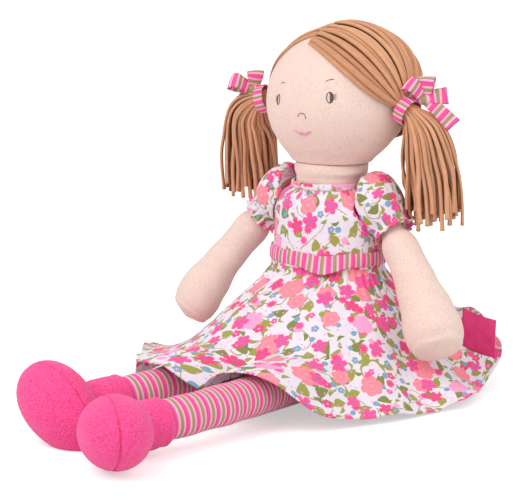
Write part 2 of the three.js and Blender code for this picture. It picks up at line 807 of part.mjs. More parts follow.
function addPigtail({ name, out, index }) {
  const tie = ties[index];
  const body = bodyAt(headBody, tie);
  const reach = new THREE.Vector3(out * pigtailOut[index], pigtailBack, -pigtailDrop[index]);
  const stops = pigtailRouteShares.map((shares) => (
    new THREE.Vector3(...shares).multiply(reach).add(tie)
  ));
  const route = new THREE.CatmullRomCurve3(stops);
  const count = 2 * pigtailFlutes;
  const rings = (growth) => pigtailWidthShares.map(([along, wide]) => (
    Array.from({ length: count }, (_, j) => {
      const uneven = ragEndShare * Math.abs(Math.sin(j * ragTurn)) * along ** ragGrowth;
      const centre = route.getPointAt(along - uneven);
      const tangent = route.getTangentAt(along - uneven);
      const across = new THREE.Vector3(0, 1, 0).cross(tangent).normalize();
      const rise = tangent.clone().cross(across);
      const angle = (2 * Math.PI * j) / count;
      const size = pigtailRadius * wide * (1 - (j % 2) * fluteDepthShare) + growth;
      const deep = size * THREE.MathUtils.lerp(1, pigtailDepthShare, along);
      return centre.addScaledVector(across, size * Math.cos(angle))
        .addScaledVector(rise, deep * Math.sin(angle));
    })
  ));
  const start = route.getTangentAt(0);
  const strands = loft(rings(0)).subtract(sleeveForm({ out, index }, clearance * 2, 0))
    .add(pigtailRoot(tie, start));
  addPiece(body, `pigtail_${name}`, largest(strands), hairLook());
  const inner = pigtailRadius * pigtailWidthShares[2][1] + clearance * 2;
  const ribbon = bow({ tie, start, inner, out, index }).subtract(loft(rings(clearance * 2)));
  addPiece(body, `hair_ribbon_${name}`, largest(ribbon), ribbonLook());
}

// The gathered root of a pigtail: half a ball that turns in its place in the head
function pigtailRoot(tie, start) {
  const reach = tieBallRadius * 2;
  const inner = turnedSolid([[reach, 0], [reach, reach]], limbSides);
  const place = tie.clone().addScaledVector(start, clearance);
  return ball(tieBallRadius, tie).intersect(solid(aimed(inner, start.clone().negate(), place)));
}

// A closed loop of ribbon lying in the XZ plane, from the origin out along +X
function ribbonLoop() {
  const turn = 2 * Math.PI;
  const outline = new THREE.Shape().absellipse(loopLength / 2, 0, loopLength / 2, loopHeight / 2, 0, turn);
  const opening = new THREE.Path().absellipse(
    loopLength / 2,
    0,
    loopLength / 2 - ribbonWall,
    loopHeight / 2 - ribbonWall,
    0,
    turn,
  );
  outline.holes.push(opening);
  const options = { depth: ribbonWidth, bevelEnabled: false, curveSegments: limbSides / 2 };
  return new THREE.ExtrudeGeometry(outline, options).translate(knotRadius / 2, 0, -ribbonWidth / 2);
}

function ribbonTail() {
  const geometry = new THREE.BoxGeometry(tailLength, ribbonWall, ribbonWidth);
  return geometry.translate((tailLength + knotRadius) / 2, 0, 0);
}

// A ribbon wrapped round a bundle, with a knot outside it, two loops and two tails
function bow({ tie, start, inner, out, index }) {
  const profile = [
    [inner, 0], [inner + ribbonWall, 0], [inner + ribbonWall, wrapLength], [inner, wrapLength], [inner, 0],
  ];
  const wrapPlace = tie.clone().addScaledVector(start, wrapStart);
  let ribbon = solid(aimed(turned(profile, limbSides), start, wrapPlace));
  const knot = new THREE.Vector3(out * bowOut, bowBack[index], bowRise[index]).add(tie);
  ribbon = ribbon.add(ball(knotRadius, knot, limbSides / 2));
  const spreads = [
    [ribbonLoop(), 140], [ribbonLoop(), 40], [ribbonTail(), -35], [ribbonTail(), 10],
  ];
  for (const [geometry, angle] of spreads) {
    const turn = new THREE.Matrix4().makeBasis(
      new THREE.Vector3(0, 1, 0),
      new THREE.Vector3(0, 0, 1),
      new THREE.Vector3(1, 0, 0),
    );
    const placed = geometry.rotateZ(radians(angle)).applyMatrix4(turn)
      .translate(knot.x, knot.y, knot.z);
    ribbon = ribbon.add(solid(placed));
  }
  return ribbon.subtract(bundleRoom(tie, start, inner));
}

function bundleRoom(tie, start, inner) {
  const length = wrapStart + wrapLength + clearance;
  return solid(aimed(turnedSolid([[inner, 0], [inner, length]], limbSides), start, tie));
}

// Arms and sleeves

function addArm({ name, out, index }) {
  const shoulder = shoulders[index];
  const body = bodyAt(root, shoulder);
  const upper = limbDirection(out, upperArmSplay[index], upperArmSwing[index]);
  const lower = limbDirection(out, lowerArmSplay[index], lowerArmSwing[index]);
  const elbow = shoulder.clone().addScaledVector(upper, upperArmLength);
  const tip = elbow.clone().addScaledVector(lower, lowerArmLength);
  const route = new THREE.QuadraticBezierCurve3(shoulder, elbow, tip);
  const reach = cutOverrun * 5;
  const far = new THREE.Vector3(torsoHalfWidth + reach, reach, torsoHeight + cutOverrun * 2);
  const outside = (plane) => box(
    new THREE.Vector3(out > 0 ? plane : -far.x, -far.y, -cutOverrun),
    new THREE.Vector3(out > 0 ? far.x : -plane, far.y, far.z),
  );
  const seam = outside(armholeOut + clearance);
  const thin = new THREE.Vector3(out * Math.cos(radians(handTurn)), -Math.sin(radians(handTurn)), 0);
  const form = (inset) => limb(route, armRadius, armShares, inset, forward, thin);
  const skin = form(0).subtract(form(clothWall)).intersect(seam);
  addPiece(body, `arm_skin_${name}`, skin, skinLook());
  const inset = clothWall + clearance;
  addPiece(body, `arm_filling_${name}`, form(inset).intersect(seam), fillingLook());

  const sleeveStart = shoulder.clone().addScaledVector(upper, -sleeveRise);
  const total = sleeveRise + sleeveLength;
  const armRoom = limb(route, armRadius, armShares, -clearance, forward, thin);
  const casing = casingRing(upper, sleeveStart, total);
  const sleeve = sleeveForm({ out, index }, 0, 0)
    .subtract(sleeveForm({ out, index }, -clothWall, cutOverrun / 10)).subtract(armRoom)
    .intersect(armholeRoom({ out, index }, 0).add(outside(armholeOut + cutOverrun / 2)));
  addPiece(body, `sleeve_${name}`, largest(sleeve), cottonLook());
  addPiece(body, `sleeve_elastic_${name}`, largest(casing.subtract(armRoom)), fillingLook());
}

// The elastic that draws the sleeve in: a ring just inside its narrowest part
function casingRing(direction, start, total) {
  const outer = sleeveRadius * lookUp(sleeveShares, sleeveCasingShare) - clothWall - clearance;
  const low = sleeveCasingShare * total - elasticWall;
  const profile = [
    [outer - elasticWall, low], [outer, low], [outer, low + elasticWall * 2],
    [outer - elasticWall, low + elasticWall * 2], [outer - elasticWall, low],
  ];
  return solid(aimed(turned(profile, torsoSides), direction, start));
}

// Legs and shoes

function addLeg({ name, out, index }) {
  const hip = hips[index];
  const body = bodyAt(root, hip);
  const { shin, cuff, route } = legLines[index];
  const ankle = cuff.clone().addScaledVector(shin, shaftLength);
  const shaftRoute = new THREE.LineCurve3(cuff.clone().addScaledVector(shin, clearance), ankle);
  const insideRoute = new THREE.LineCurve3(cuff.clone().addScaledVector(shin, -legRadius / 2), ankle);
  const endShare = legShares[legShares.length - 1][1];
  const inside = (inset) => limb(route, legRadius, legShares, inset, upward)
    .add(limb(insideRoute, legRadius * endShare, [[0, liningShare], [1, liningShare]], inset, upward));
  const cavity = inside(clothWall);
  const stocking = limb(route, legRadius, legShares, 0, upward).subtract(cavity);
  addPiece(body, `stocking_${name}`, stocking, stockingLook());
  const shaft = limb(shaftRoute, shaftRadius, shaftShares, 0, upward).add(ball(shaftRadius, ankle));
  addPiece(body, `shoe_shaft_${name}`, shaft.subtract(cavity), fleeceLook());
  addPiece(body, `leg_filling_${name}`, inside(clothWall + clearance), fillingLook());
  addFoot({ name, out, index }, body, ankle, shin);
}

// The foot's own axes: across, toe to heel and up from the sole, turned about the ankle
function footFrame(out, index) {
  const turn = radians(footTurn[index]);
  const sole = new THREE.Vector3(-out * Math.sin(turn), -Math.cos(turn), 0);
  const roll = radians(footRoll[index]);
  const level = sole.clone().cross(upward).multiplyScalar(-out);
  const toe = upward.clone().multiplyScalar(Math.cos(roll)).addScaledVector(level, Math.sin(roll));
  const heelward = toe.clone().negate();
  const rise = sole.clone().negate();
  return { across: heelward.clone().cross(rise), heelward, rise, toe, sole };
}

// A plump foot, narrower at the heel, drawn in by an inset
function footForm(frame, centre, inset) {
  const geometry = new THREE.SphereGeometry(1, ringSides, ringSides / 2).rotateX(Math.PI / 2);
  const position = geometry.attributes.position;
  const point = new THREE.Vector3();
  for (let i = 0; i < position.count; i += 1) {
    point.fromBufferAttribute(position, i);
    const taper = 1 - heelTaperShare * (1 + point.y) / 2;
    position.setXYZ(
      i,
      point.x * taper * (footHalfWidth - inset),
      point.y * (footHalfLength - inset),
      point.z * taper * (footHalfHeight - inset),
    );
  }
  const basis = new THREE.Matrix4().makeBasis(frame.across, frame.heelward, frame.rise).setPosition(centre);
  const reach = hemRadius * 4;
  const under = box(new THREE.Vector3(-reach, -reach, -cutOverrun), new THREE.Vector3(reach, reach, inset));
  return solid(geometry.applyMatrix4(basis)).subtract(under);
}

// Room for the shaft as the foot turns about the ankle, each way
function ankleRoom(frame, ankle, direction, growth) {
  const radius = shaftRadius * ankleRoomShare + ankleGap + growth;
  const back = direction.clone().negate();
  let room = ball(shaftRadius + ankleGap + growth, ankle);
  for (const angle of [-ankleSwing, 0, ankleSwing]) {
    const away = back.clone().applyAxisAngle(frame.across, radians(angle));
    const way = turnedSolid([[radius, 0], [radius, cutOverrun * 2]], cutSides);
    room = room.add(solid(aimed(way, away, ankle)));
  }
  return room;
}

function addFoot({ name, out, index }, leg, ankle, direction) {
  const body = bodyAt(leg, ankle);
  const frame = footFrame(out, index);
  const centre = ankle.clone().addScaledVector(frame.toe, footAhead[index])
    .addScaledVector(frame.sole, footBelow[index]);
  const whole = footForm(frame, centre, 0).subtract(ankleRoom(frame, ankle, direction, 0));
  const cavity = footForm(frame, centre, clothWall);
  const skin = whole.subtract(cavity);
  const reach = hemRadius;
  const seam = -footHalfHeight * footSoleShare;
  const basis = new THREE.Matrix4().makeBasis(frame.across, frame.heelward, frame.rise).setPosition(centre);
  const half = (low, high) => solid(
    new THREE.BoxGeometry(2 * reach, 2 * reach, high - low).translate(0, 0, (low + high) / 2)
      .applyMatrix4(basis),
  );
  addPiece(body, `shoe_upper_${name}`, skin.intersect(half(seam + clearance, reach)), fleeceLook());
  addPiece(body, `shoe_sole_${name}`, skin.intersect(half(-reach, seam)), fleeceLook());
  const inset = clothWall + clearance;
  const filling = footForm(frame, centre, inset).subtract(ankleRoom(frame, ankle, direction, inset));
  addPiece(body, `shoe_filling_${name}`, filling, fillingLook());
}

addTorso();
addBodice();
addTrim();
addSkirt();
addLabel();
addNeck();
addHead();
for (const side of sides) {
  addCap(side);
  addPigtail(side);
  addArm(side);
  addLeg(side);
}

export default root;
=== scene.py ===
import json
import math

import bpy
import numpy as np
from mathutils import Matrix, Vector


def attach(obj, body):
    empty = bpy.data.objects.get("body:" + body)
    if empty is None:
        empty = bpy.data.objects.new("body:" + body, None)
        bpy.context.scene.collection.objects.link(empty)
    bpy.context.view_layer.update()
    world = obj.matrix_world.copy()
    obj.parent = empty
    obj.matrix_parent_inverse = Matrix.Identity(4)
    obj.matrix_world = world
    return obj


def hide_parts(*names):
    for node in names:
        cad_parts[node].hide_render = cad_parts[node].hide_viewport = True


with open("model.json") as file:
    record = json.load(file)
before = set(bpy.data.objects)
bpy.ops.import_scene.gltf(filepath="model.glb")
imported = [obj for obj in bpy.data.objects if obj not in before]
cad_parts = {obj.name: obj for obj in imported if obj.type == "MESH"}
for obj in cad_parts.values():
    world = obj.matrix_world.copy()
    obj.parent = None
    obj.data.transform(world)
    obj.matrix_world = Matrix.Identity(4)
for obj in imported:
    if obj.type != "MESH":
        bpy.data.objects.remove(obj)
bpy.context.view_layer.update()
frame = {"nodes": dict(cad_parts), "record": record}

print("frame loaded,", len(frame["nodes"]), "nodes")

# Shapes are worked out in millimetres and become metres when a mesh is made
toMetres = 0.001
routeSteps = 400  # points of a route before it is cut into rings
ribbonPeriod, stockingPeriod = 7.2, 6.2  # width of one set of stripes
fullTurn, eighthTurn = 6.283, 0.7854  # in radians, for the materials
seed = np.random.default_rng(11)
# Index, name and direction along X of each side of the doll
sides = ((0, "left", 1), (1, "right", -1))


# A new object in the scene, made of some data
def addObject(name, data):
    made = bpy.data.objects.new(name, data)
    bpy.context.scene.collection.objects.link(made)
    return made


# A direction from its angle round from the front and its angle above level:
# (sin a cos e, -cos a cos e, sin e)
def aimed(azimuth, elevation):
    a, e = math.radians(azimuth), math.radians(elevation)
    return np.array([math.sin(a) * math.cos(e), -math.cos(a) * math.cos(e), math.sin(e)])


# The camera stands where the photograph was taken from
camera = dict(azimuth=37, elevation=10, place=(647.3, -914.4, 271.5), lens=138.4)
clipNear, clipFar = 0.05, 30  # metres
back = Vector(aimed(camera["azimuth"], camera["elevation"]))
cameraData = bpy.data.cameras.new("camera")
cameraData.lens = camera["lens"]
cameraData.clip_start, cameraData.clip_end = clipNear, clipFar
cameraObject = addObject("camera", cameraData)
cameraObject.location = Vector(camera["place"]) * toMetres
cameraObject.rotation_mode = "QUATERNION"
cameraObject.rotation_quaternion = (-back).to_track_quat("-Z", "Y")
bpy.context.scene.camera = cameraObject


# Vectors of length one: each divided by its length
def unit(v):
    return v / np.maximum(np.linalg.norm(v, axis=-1, keepdims=True), 1e-9)


# A smooth rise from 0 to 1 between two limits: 3t^2 - 2t^3, with t the share of the way
def smoothStep(low, high, x):
    t = np.clip((x - low) / (high - low), 0, 1)
    return t * t * (3 - 2 * t)


# A hump of height one: e to the power of -((x - middle) / wide)^2
def hump(x, middle, wide):
    return np.exp(-((x - middle) / wide) ** 2)


# An angle brought between -pi and pi
def wrapped(angle):
    return (angle + np.pi) % (2 * np.pi) - np.pi


# Arrays spread over one grid and joined as the coordinates of its points
def join(*parts):
    return np.stack(np.broadcast_arrays(*parts), -1)


# Angles at equal steps once round, without the last, which is the first again
def turns(count):
    return np.linspace(0, 2 * np.pi, count + 1)[:-1]


# Shares from 0 to 1 down the rows of a grid, and angles 2 pi j / columns round it
def grid(rows, columns):
    return np.linspace(0, 1, rows)[:, None], np.arange(columns)[None, :] * 2 * np.pi / columns


# A smooth curve through the pairs of a table: a cubic between each two, with its slopes from their neighbours
def tableCurve(table, x):
    px, py = np.array(table, float).T
    slope = np.gradient(py, px)
    x = np.clip(x, px[0], px[-1])
    i = np.clip(np.searchsorted(px, x, side="right") - 1, 0, len(px) - 2)
    h = px[i + 1] - px[i]
    t = (x - px[i]) / h
    return ((2 * t**3 - 3 * t**2 + 1) * py[i] + (t**3 - 2 * t**2 + t) * h * slope[i]
            + (3 * t**2 - 2 * t**3) * py[i + 1] + (t**3 - t**2) * h * slope[i + 1])


# Points at equal steps along a line of points
def evenSteps(line, count):
    line = np.asarray(line, float)
    length = np.concatenate([[0], np.cumsum(np.linalg.norm(np.diff(line, axis=0), axis=1))])
    want = np.linspace(0, 1, count) * length[-1]
    return np.stack([np.interp(want, length, line[:, c]) for c in range(3)], -1)


# A smooth line through a few stops: a cubic of each coordinate over the distance walked
def smoothRoute(stops):
    stops = np.asarray(stops, float)
    far = np.concatenate([[0], np.cumsum(np.linalg.norm(np.diff(stops, axis=0), axis=1))])
    t = np.linspace(0, far[-1], routeSteps)
    line = np.stack([tableCurve(np.stack([far, stops[:, c]], -1), t) for c in range(3)], -1)
    return evenSteps(line, routeSteps)


# A curve from a to c, drawn towards b: (1 - t)^2 a + 2 t (1 - t) b + t^2 c
def bezierRoute(a, b, c):
    t = np.linspace(0, 1, routeSteps)[:, None]
    return evenSteps((1 - t) ** 2 * a + 2 * t * (1 - t) * b + t**2 * c, routeSteps)


# Tangent, across and rise at each point: across = reference x tangent, rise = tangent x across
def framesAlong(route, reference):
    tangent = unit(np.gradient(route, axis=-2))
    across = unit(np.cross(np.broadcast_to(reference, route.shape), tangent))
    return tangent, across, np.cross(tangent, across)


# Rings round a route: centre + wide cos(a) across + deep sin(a) rise
def tube(route, wide, deep, count, reference=(0, 1, 0)):
    _, across, up = framesAlong(route, np.array(reference, float))
    angle = np.arange(count) * 2 * np.pi / count
    shape = route.shape[:-1]
    wide, deep = (np.broadcast_to(np.asarray(w, float), shape)[..., None, None] for w in (wide, deep))
    cos, sin = np.cos(angle)[:, None], np.sin(angle)[:, None]
    return route[..., None, :] + wide * cos * across[..., None, :] + deep * sin * up[..., None, :]


# Moves the points of each ring away from the route: point + amount times its direction from the centre
def swell(rings, route, amount):
    return rings + unit(rings - route[:, None, :]) * amount[..., None]


# Faces over grids of points: quads between neighbours, and a fan over each end that is capped
def makeMesh(name, rings, uv=None, around=True, caps=(True, True), values=None):
    rings = np.asarray(rings, float)
    rings = rings[None] if rings.ndim == 3 else rings
    k, n, m = rings.shape[:3]
    points = rings.reshape(-1, 3)
    gaps = np.meshgrid(np.arange(n - 1), np.arange(m if around else m - 1), indexing="ij")
    i, j = (g.reshape(-1, 1) for g in gaps)
    wide = m + 1 if around else m
    corners = np.hstack([i * m + j, i * m + (j + 1) % m, (i + 1) * m + (j + 1) % m, (i + 1) * m + j])
    marks = np.hstack([i * wide + j, i * wide + j + 1, (i + 1) * wide + j + 1, (i + 1) * wide + j])
    each = np.arange(k)[:, None, None]
    quads, quadMarks = (corners + each * n * m).reshape(-1, 4), (marks + each * n * wide).reshape(-1, 4)
    fans, fanMarks = np.zeros((0, 3), int), np.zeros((0, 3), int)
    for end, wanted in enumerate(caps):
        if wanted:
            row = end * (n - 1)
            one = np.arange(m)
            two = (one + 1) % m
            a, b = (two, one) if end == 0 else (one, two)
            centre = len(points) + each + 0 * one[None, :, None]
            fan = np.concatenate([centre, (row * m + a)[None, :, None] + each * n * m,
                                  (row * m + b)[None, :, None] + each * n * m], -1).reshape(-1, 3)
            mark = np.concatenate([(row * wide + w)[None, :, None] + each * n * wide
                                   for w in (one, one + (end == 0), one + (end == 1))], -1).reshape(-1, 3)
            fans, fanMarks = np.vstack([fans, fan]), np.vstack([fanMarks, mark])
            points = np.vstack([points, rings[:, row].mean(axis=1)])
    triangles = np.vstack([quads[:, [0, 1, 2]], quads[:, [0, 2, 3]], fans])
    a, b, c = (points[triangles[:, s]] for s in range(3))
    normals = np.cross(b - a, c - a)
    if all(caps) and around:
        undersideShade = (a * normals).sum()
    else:
        undersideShade = (normals * ((a + b + c) / 3 - points.mean(0))).sum()
    if undersideShade < 0:
        quads, fans, quadMarks, fanMarks = (f[:, ::-1] for f in (quads, fans, quadMarks, fanMarks))
    mesh = bpy.data.meshes.new(name)
    mesh.from_pydata((points * toMetres).tolist(), [], quads.tolist() + fans.tolist())
    if uv is not None:
        uv = np.asarray(uv, float).reshape(-1, 2)
        layer = mesh.uv_layers.new(name="cloth")
        order = np.concatenate([quadMarks.ravel(), fanMarks.ravel()])
        layer.data.foreach_set("uv", uv[order].astype(np.float32).ravel())
    if values is not None:
        shade = mesh.attributes.new("strand", "FLOAT", "POINT")
        each = np.repeat(np.asarray(values, float), n * m)
        rest = np.tile(values, len(points) // k - n * m) if len(points) > k * n * m else np.zeros(0)
        shade.data.foreach_set("value", np.concatenate([each, rest]).astype(np.float32))
    mesh.shade_smooth()
    return addObject(name, mesh)


# Gives a piece its material, its body and the nodes that it stands for
def place(piece, look, body, nodes=(), slotName=None, fill=None, wall=None, wallOffset=-1):
    piece.data.materials.clear()
    piece.data.materials.append(look)
    if wall:
        solid = piece.modifiers.new("wall", "SOLIDIFY")
        solid.thickness, solid.offset = wall * toMetres, wallOffset
    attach(piece, body)
    if nodes:
        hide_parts(*nodes)


# A soft copy of a node: its points merged, remeshed, smoothed and moved out along the normals
def softCopy(name, node, voxel, grow, rounds=8):
    piece = addObject(name, frame["nodes"][node].data.copy())
    piece.modifiers.new("merge", "WELD").merge_threshold = 0.00002
    remesh = piece.modifiers.new("remesh", "REMESH")
    remesh.mode, remesh.voxel_size = "VOXEL", voxel * toMetres
    smooth = piece.modifiers.new("smooth", "SMOOTH")
    smooth.factor, smooth.iterations = 0.5, rounds
    done = bpy.data.meshes.new_from_object(piece.evaluated_get(bpy.context.evaluated_depsgraph_get()))
    piece.modifiers.clear()
    piece.data = done
    done.name = name
    co, normal = np.zeros((2, len(done.vertices) * 3), np.float32)
    done.vertices.foreach_get("co", co)
    done.vertices.foreach_get("normal", normal)
    done.vertices.foreach_set("co", co + normal * grow * toMetres)
    done.shade_smooth()
    return piece


# Materials

# A colour written as it looks on a screen, 0 to 255, made linear
def tint(r, g, b):
    return tuple(((v / 255 + 0.055) / 1.055) ** 2.4 for v in (r, g, b)) + (1.0,)


# A shader node with its settings, each input linked to a socket or given a value
def addNode(tree, kind, inputs=None, **settings):
    node = tree.nodes.new("ShaderNode" + kind)
    for key, value in settings.items():
        setattr(node, key, value)
    for key, value in (inputs or {}).items():
        if isinstance(value, bpy.types.NodeSocket):
            tree.links.new(value, node.inputs[key])
        else:
            node.inputs[key].default_value = value
    return node


# One step of arithmetic on values
def calc(tree, operation, a, b=0.0, clamp=False):
    return addNode(tree, "Math", {0: a, 1: b}, operation=operation, use_clamp=clamp).outputs[0]


# a b
def times(tree, a, b, clamp=False):
    return calc(tree, "MULTIPLY", a, b, clamp)


# a - b
def minus(tree, a, b):
    return calc(tree, "SUBTRACT", a, b)


# A colour between two: low (1 - share) + high share
def mixColour(tree, share, low, high):
    return addNode(tree, "Mix", {0: share, 6: low, 7: high}, data_type="RGBA").outputs[2]


# A cloudy value about one half
def noise(tree, place, scale, detail=2.0, roughness=0.5, distortion=0.0):
    found = addNode(tree, "TexNoise", {"Vector": place, "Scale": scale, "Detail": detail,
                                       "Roughness": roughness, "Distortion": distortion})
    return found.outputs[0]


# Spreads a value between two limits over 0 to 1: (value - low) / (high - low)
def spread(tree, value, low, high):
    node = addNode(tree, "MapRange", {0: value, 1: low, 2: high, 3: 0.0, 4: 1.0}, clamp=True)
    return node.outputs[0]


# Lays a colour over another where a value rises from low to high, up to a share
def wash(tree, value, low, high, share, under, over):
    return mixColour(tree, times(tree, spread(tree, value, low, high), share), under, over)


# A cloth: build gives its colour and the height of its bumps, and sheen is the light in its pile
def clothLook(name, build, roughness=0.9, sheen=0.0, sheenTint=(1, 1, 1, 1), bump=0.3, bumpMm=0.3):
    look = bpy.data.materials.new(name)
    look.use_nodes = True
    tree = look.node_tree
    shader = tree.nodes["Principled BSDF"]
    colour, height = build(tree)
    tree.links.new(colour, shader.inputs["Base Color"])
    shader.inputs["Roughness"].default_value = roughness
    shader.inputs["Specular IOR Level"].default_value = 0.25
    shader.inputs["Sheen Weight"].default_value = sheen
    shader.inputs["Sheen Roughness"].default_value = 0.45
    shader.inputs["Sheen Tint"].default_value = sheenTint
    raised = addNode(tree, "Bump", {"Height": height, "Strength": bump, "Distance": bumpMm * toMetres})
    tree.links.new(raised.outputs[0], shader.inputs["Normal"])
    return look


# Places on a piece in metres
def objectPlace(tree):
    return addNode(tree, "TexCoord").outputs["Object"]


# Places along the cloth in millimetres, from the piece's own UV map
def clothPlace(tree):
    return addNode(tree, "UVMap", uv_map="cloth").outputs[0]


# Short pile: fine speckle, brushed patches and a warmer blush
def buildVelour(tree):
    place = objectPlace(tree)
    nap = noise(tree, place, 1350, 4.0, 0.7)
    patch = noise(tree, place, 150, 3.0, 0.6)
    blush = noise(tree, place, 26, 2.0)
    colour = mixColour(tree, spread(tree, nap, 0.34, 0.64), tint(218, 188, 174), tint(246, 226, 216))
    colour = mixColour(tree, spread(tree, patch, 0.3, 0.75), colour, tint(240, 216, 204))
    deeper = mixColour(tree, 0.45, colour, tint(216, 184, 170))
    colour = mixColour(tree, spread(tree, nap, 0.3, 0.7), deeper, colour)
    colour = wash(tree, blush, 0.4, 0.7, 0.3, colour, tint(240, 202, 192))
    height = calc(tree, "ADD", nap, times(tree, patch, 0.8))
    return colour, height


# Woven ground for prints: two crossing waves of fine yarn
def weave(tree, place, pitch):
    inputs = {"Vector": place, "Scale": 1 / pitch / 3.2, "Distortion": 0.4, "Detail": 1.0}
    across, along = (addNode(tree, "TexWave", inputs, wave_type="BANDS", bands_direction=way).outputs[1]
                     for way in "XY")
    return calc(tree, "MAXIMUM", across, along)


# Motifs scattered over the cloth: one in each cell of a loose grid, with its own turn, size and colour.
# A flower's edge is size ((1 - depth) + depth |cos(n a / 2)|), a leaf's is wide (1 - (x / long)^2).
def motifs(tree, place, under, cell, turnBy, shift, share, size, petals=0, depth=0.4, colours=(), eye=None,
           eyeShare=0.27, ring=None, long=0.0, wide=0.0, loose=0.45, crisp=0.14):
    mapped = addNode(tree, "Mapping", {"Vector": place, "Location": shift, "Rotation": (0, 0, turnBy),
                                       "Scale": (1 / cell, 1 / cell, 1)}).outputs[0]
    cells = addNode(tree, "TexVoronoi", {"Vector": mapped, "Scale": 1.0, "Randomness": loose},
                    voronoi_dimensions="2D", feature="F1")
    away = addNode(tree, "VectorMath", {0: mapped, 1: cells.outputs["Position"]}, operation="SUBTRACT")
    parts = addNode(tree, "SeparateXYZ", {0: away.outputs[0]})
    dice = addNode(tree, "SeparateColor", {0: cells.outputs["Color"]})
    angle = calc(tree, "ADD", calc(tree, "ARCTAN2", parts.outputs[1], parts.outputs[0]),
                 times(tree, dice.outputs[0], fullTurn))
    radius = cells.outputs["Distance"]
    grown = calc(tree, "ADD", times(tree, dice.outputs[1], 0.3), 0.75)
    if long:
        x = times(tree, radius, calc(tree, "COSINE", angle))
        y = times(tree, radius, calc(tree, "SINE", angle))
        bend = times(tree, times(tree, x, x), 1.2)
        y = calc(tree, "ABSOLUTE", minus(tree, y, bend))
        x = calc(tree, "DIVIDE", x, times(tree, grown, long / cell))
        edge = times(tree, minus(tree, 1.0, times(tree, x, x)), wide / cell)
        inside = minus(tree, edge, y)
    else:
        wave = calc(tree, "ABSOLUTE", calc(tree, "COSINE", times(tree, angle, petals / 2)))
        wave = calc(tree, "POWER", wave, 0.65)
        lobe = calc(tree, "ADD", times(tree, wave, depth), 1 - depth)
        edge = times(tree, times(tree, lobe, grown), size / cell)
        inside = minus(tree, edge, radius)
    present = calc(tree, "LESS_THAN", dice.outputs[2], share)
    mask = times(tree, times(tree, inside, cell / crisp, clamp=True), present)
    colour = colours[0]
    for count, other in enumerate(colours[1:], 1):
        chosen = calc(tree, "GREATER_THAN", dice.outputs[1], count / len(colours))
        colour = mixColour(tree, chosen, colour, other)
    if ring:
        band = calc(tree, "ABSOLUTE", minus(tree, radius, size * 0.5 / cell))
        band = times(tree, minus(tree, 0.25 / cell, band), cell / crisp, clamp=True)
        colour = mixColour(tree, band, colour, ring)
    if eye:
        core = times(tree, minus(tree, size * eyeShare / cell, radius), cell / crisp, clamp=True)
        colour = mixColour(tree, core, colour, eye)
    return mixColour(tree, mask, under, colour)


ground, hotPink, rosePink = tint(230, 222, 232), tint(244, 82, 152), tint(236, 66, 126)
coral, palePink, lilacPink = tint(250, 138, 148), tint(244, 162, 204), tint(242, 148, 210)
olive, darkOlive = tint(154, 156, 66), tint(126, 134, 60)
blue, deepBlue = tint(118, 164, 192), tint(110, 126, 172)


# A ditsy floral: stems as thin contour lines of a slow noise, then leaves, dots and flowers over them
def buildFloral(tree):
    place = clothPlace(tree)
    slow = noise(tree, place, 0.06, 1.0, 0.4)
    where = noise(tree, place, 0.09, 1.0)
    fromLine = calc(tree, "ABSOLUTE", minus(tree, slow, 0.5))
    line = times(tree, minus(tree, 0.0125, fromLine), 240.0, clamp=True)
    stems = times(tree, line, calc(tree, "GREATER_THAN", where, 0.44))
    colour = mixColour(tree, stems, ground, olive)
    # Cell, turn, shift, share of the cells, size, and what else sets the motif
    for cell, turnBy, shift, share, size, more in (
            (6.4, 0.4, (3, 1, 0), 0.5, 1, dict(long=3.0, wide=1.1, colours=(olive, darkOlive, olive))),
            (11.5, 1.3, (7, 2, 0), 0.8, 1, dict(long=4.6, wide=2.7, colours=(olive, olive, darkOlive))),
            (2.4, 0.9, (1, 5, 0), 0.2, 0.62, dict(petals=2, depth=0.1, colours=(lilacPink,), loose=0.7)),
            (12.0, 0.2, (2, 8, 0), 0.6, 2.0, dict(petals=2, depth=0.1, colours=(blue,), eye=blue)),
            (10.0, 2.2, (5, 3, 0), 0.38, 2.6, dict(petals=5, depth=0.36, eye=palePink,
                                                   colours=(hotPink, blue, palePink, rosePink))),
            (11.4, 1.7, (9, 4, 0), 0.42, 3.0, dict(petals=10, depth=0.5, colours=(hotPink, rosePink),
                                                   crisp=0.2)),
            (18.0, 0.7, (4, 6, 0), 0.42, 6.9, dict(petals=6, depth=0.24, colours=(coral, palePink, coral),
                                                   eye=palePink, eyeShare=0.12, ring=palePink)),
            (13.0, 2.6, (8, 9, 0), 0.5, 5.0, dict(petals=5, depth=0.46, colours=(hotPink, rosePink, hotPink),
                                                  eye=deepBlue, eyeShare=0.16))):
        colour = motifs(tree, place, colour, cell, turnBy, shift, share, size, **more)
    fine = noise(tree, place, 1.6, 2.0)
    colour = wash(tree, fine, 0.4, 0.7, 0.1, colour, tint(214, 196, 214))
    return colour, weave(tree, place, 0.42)


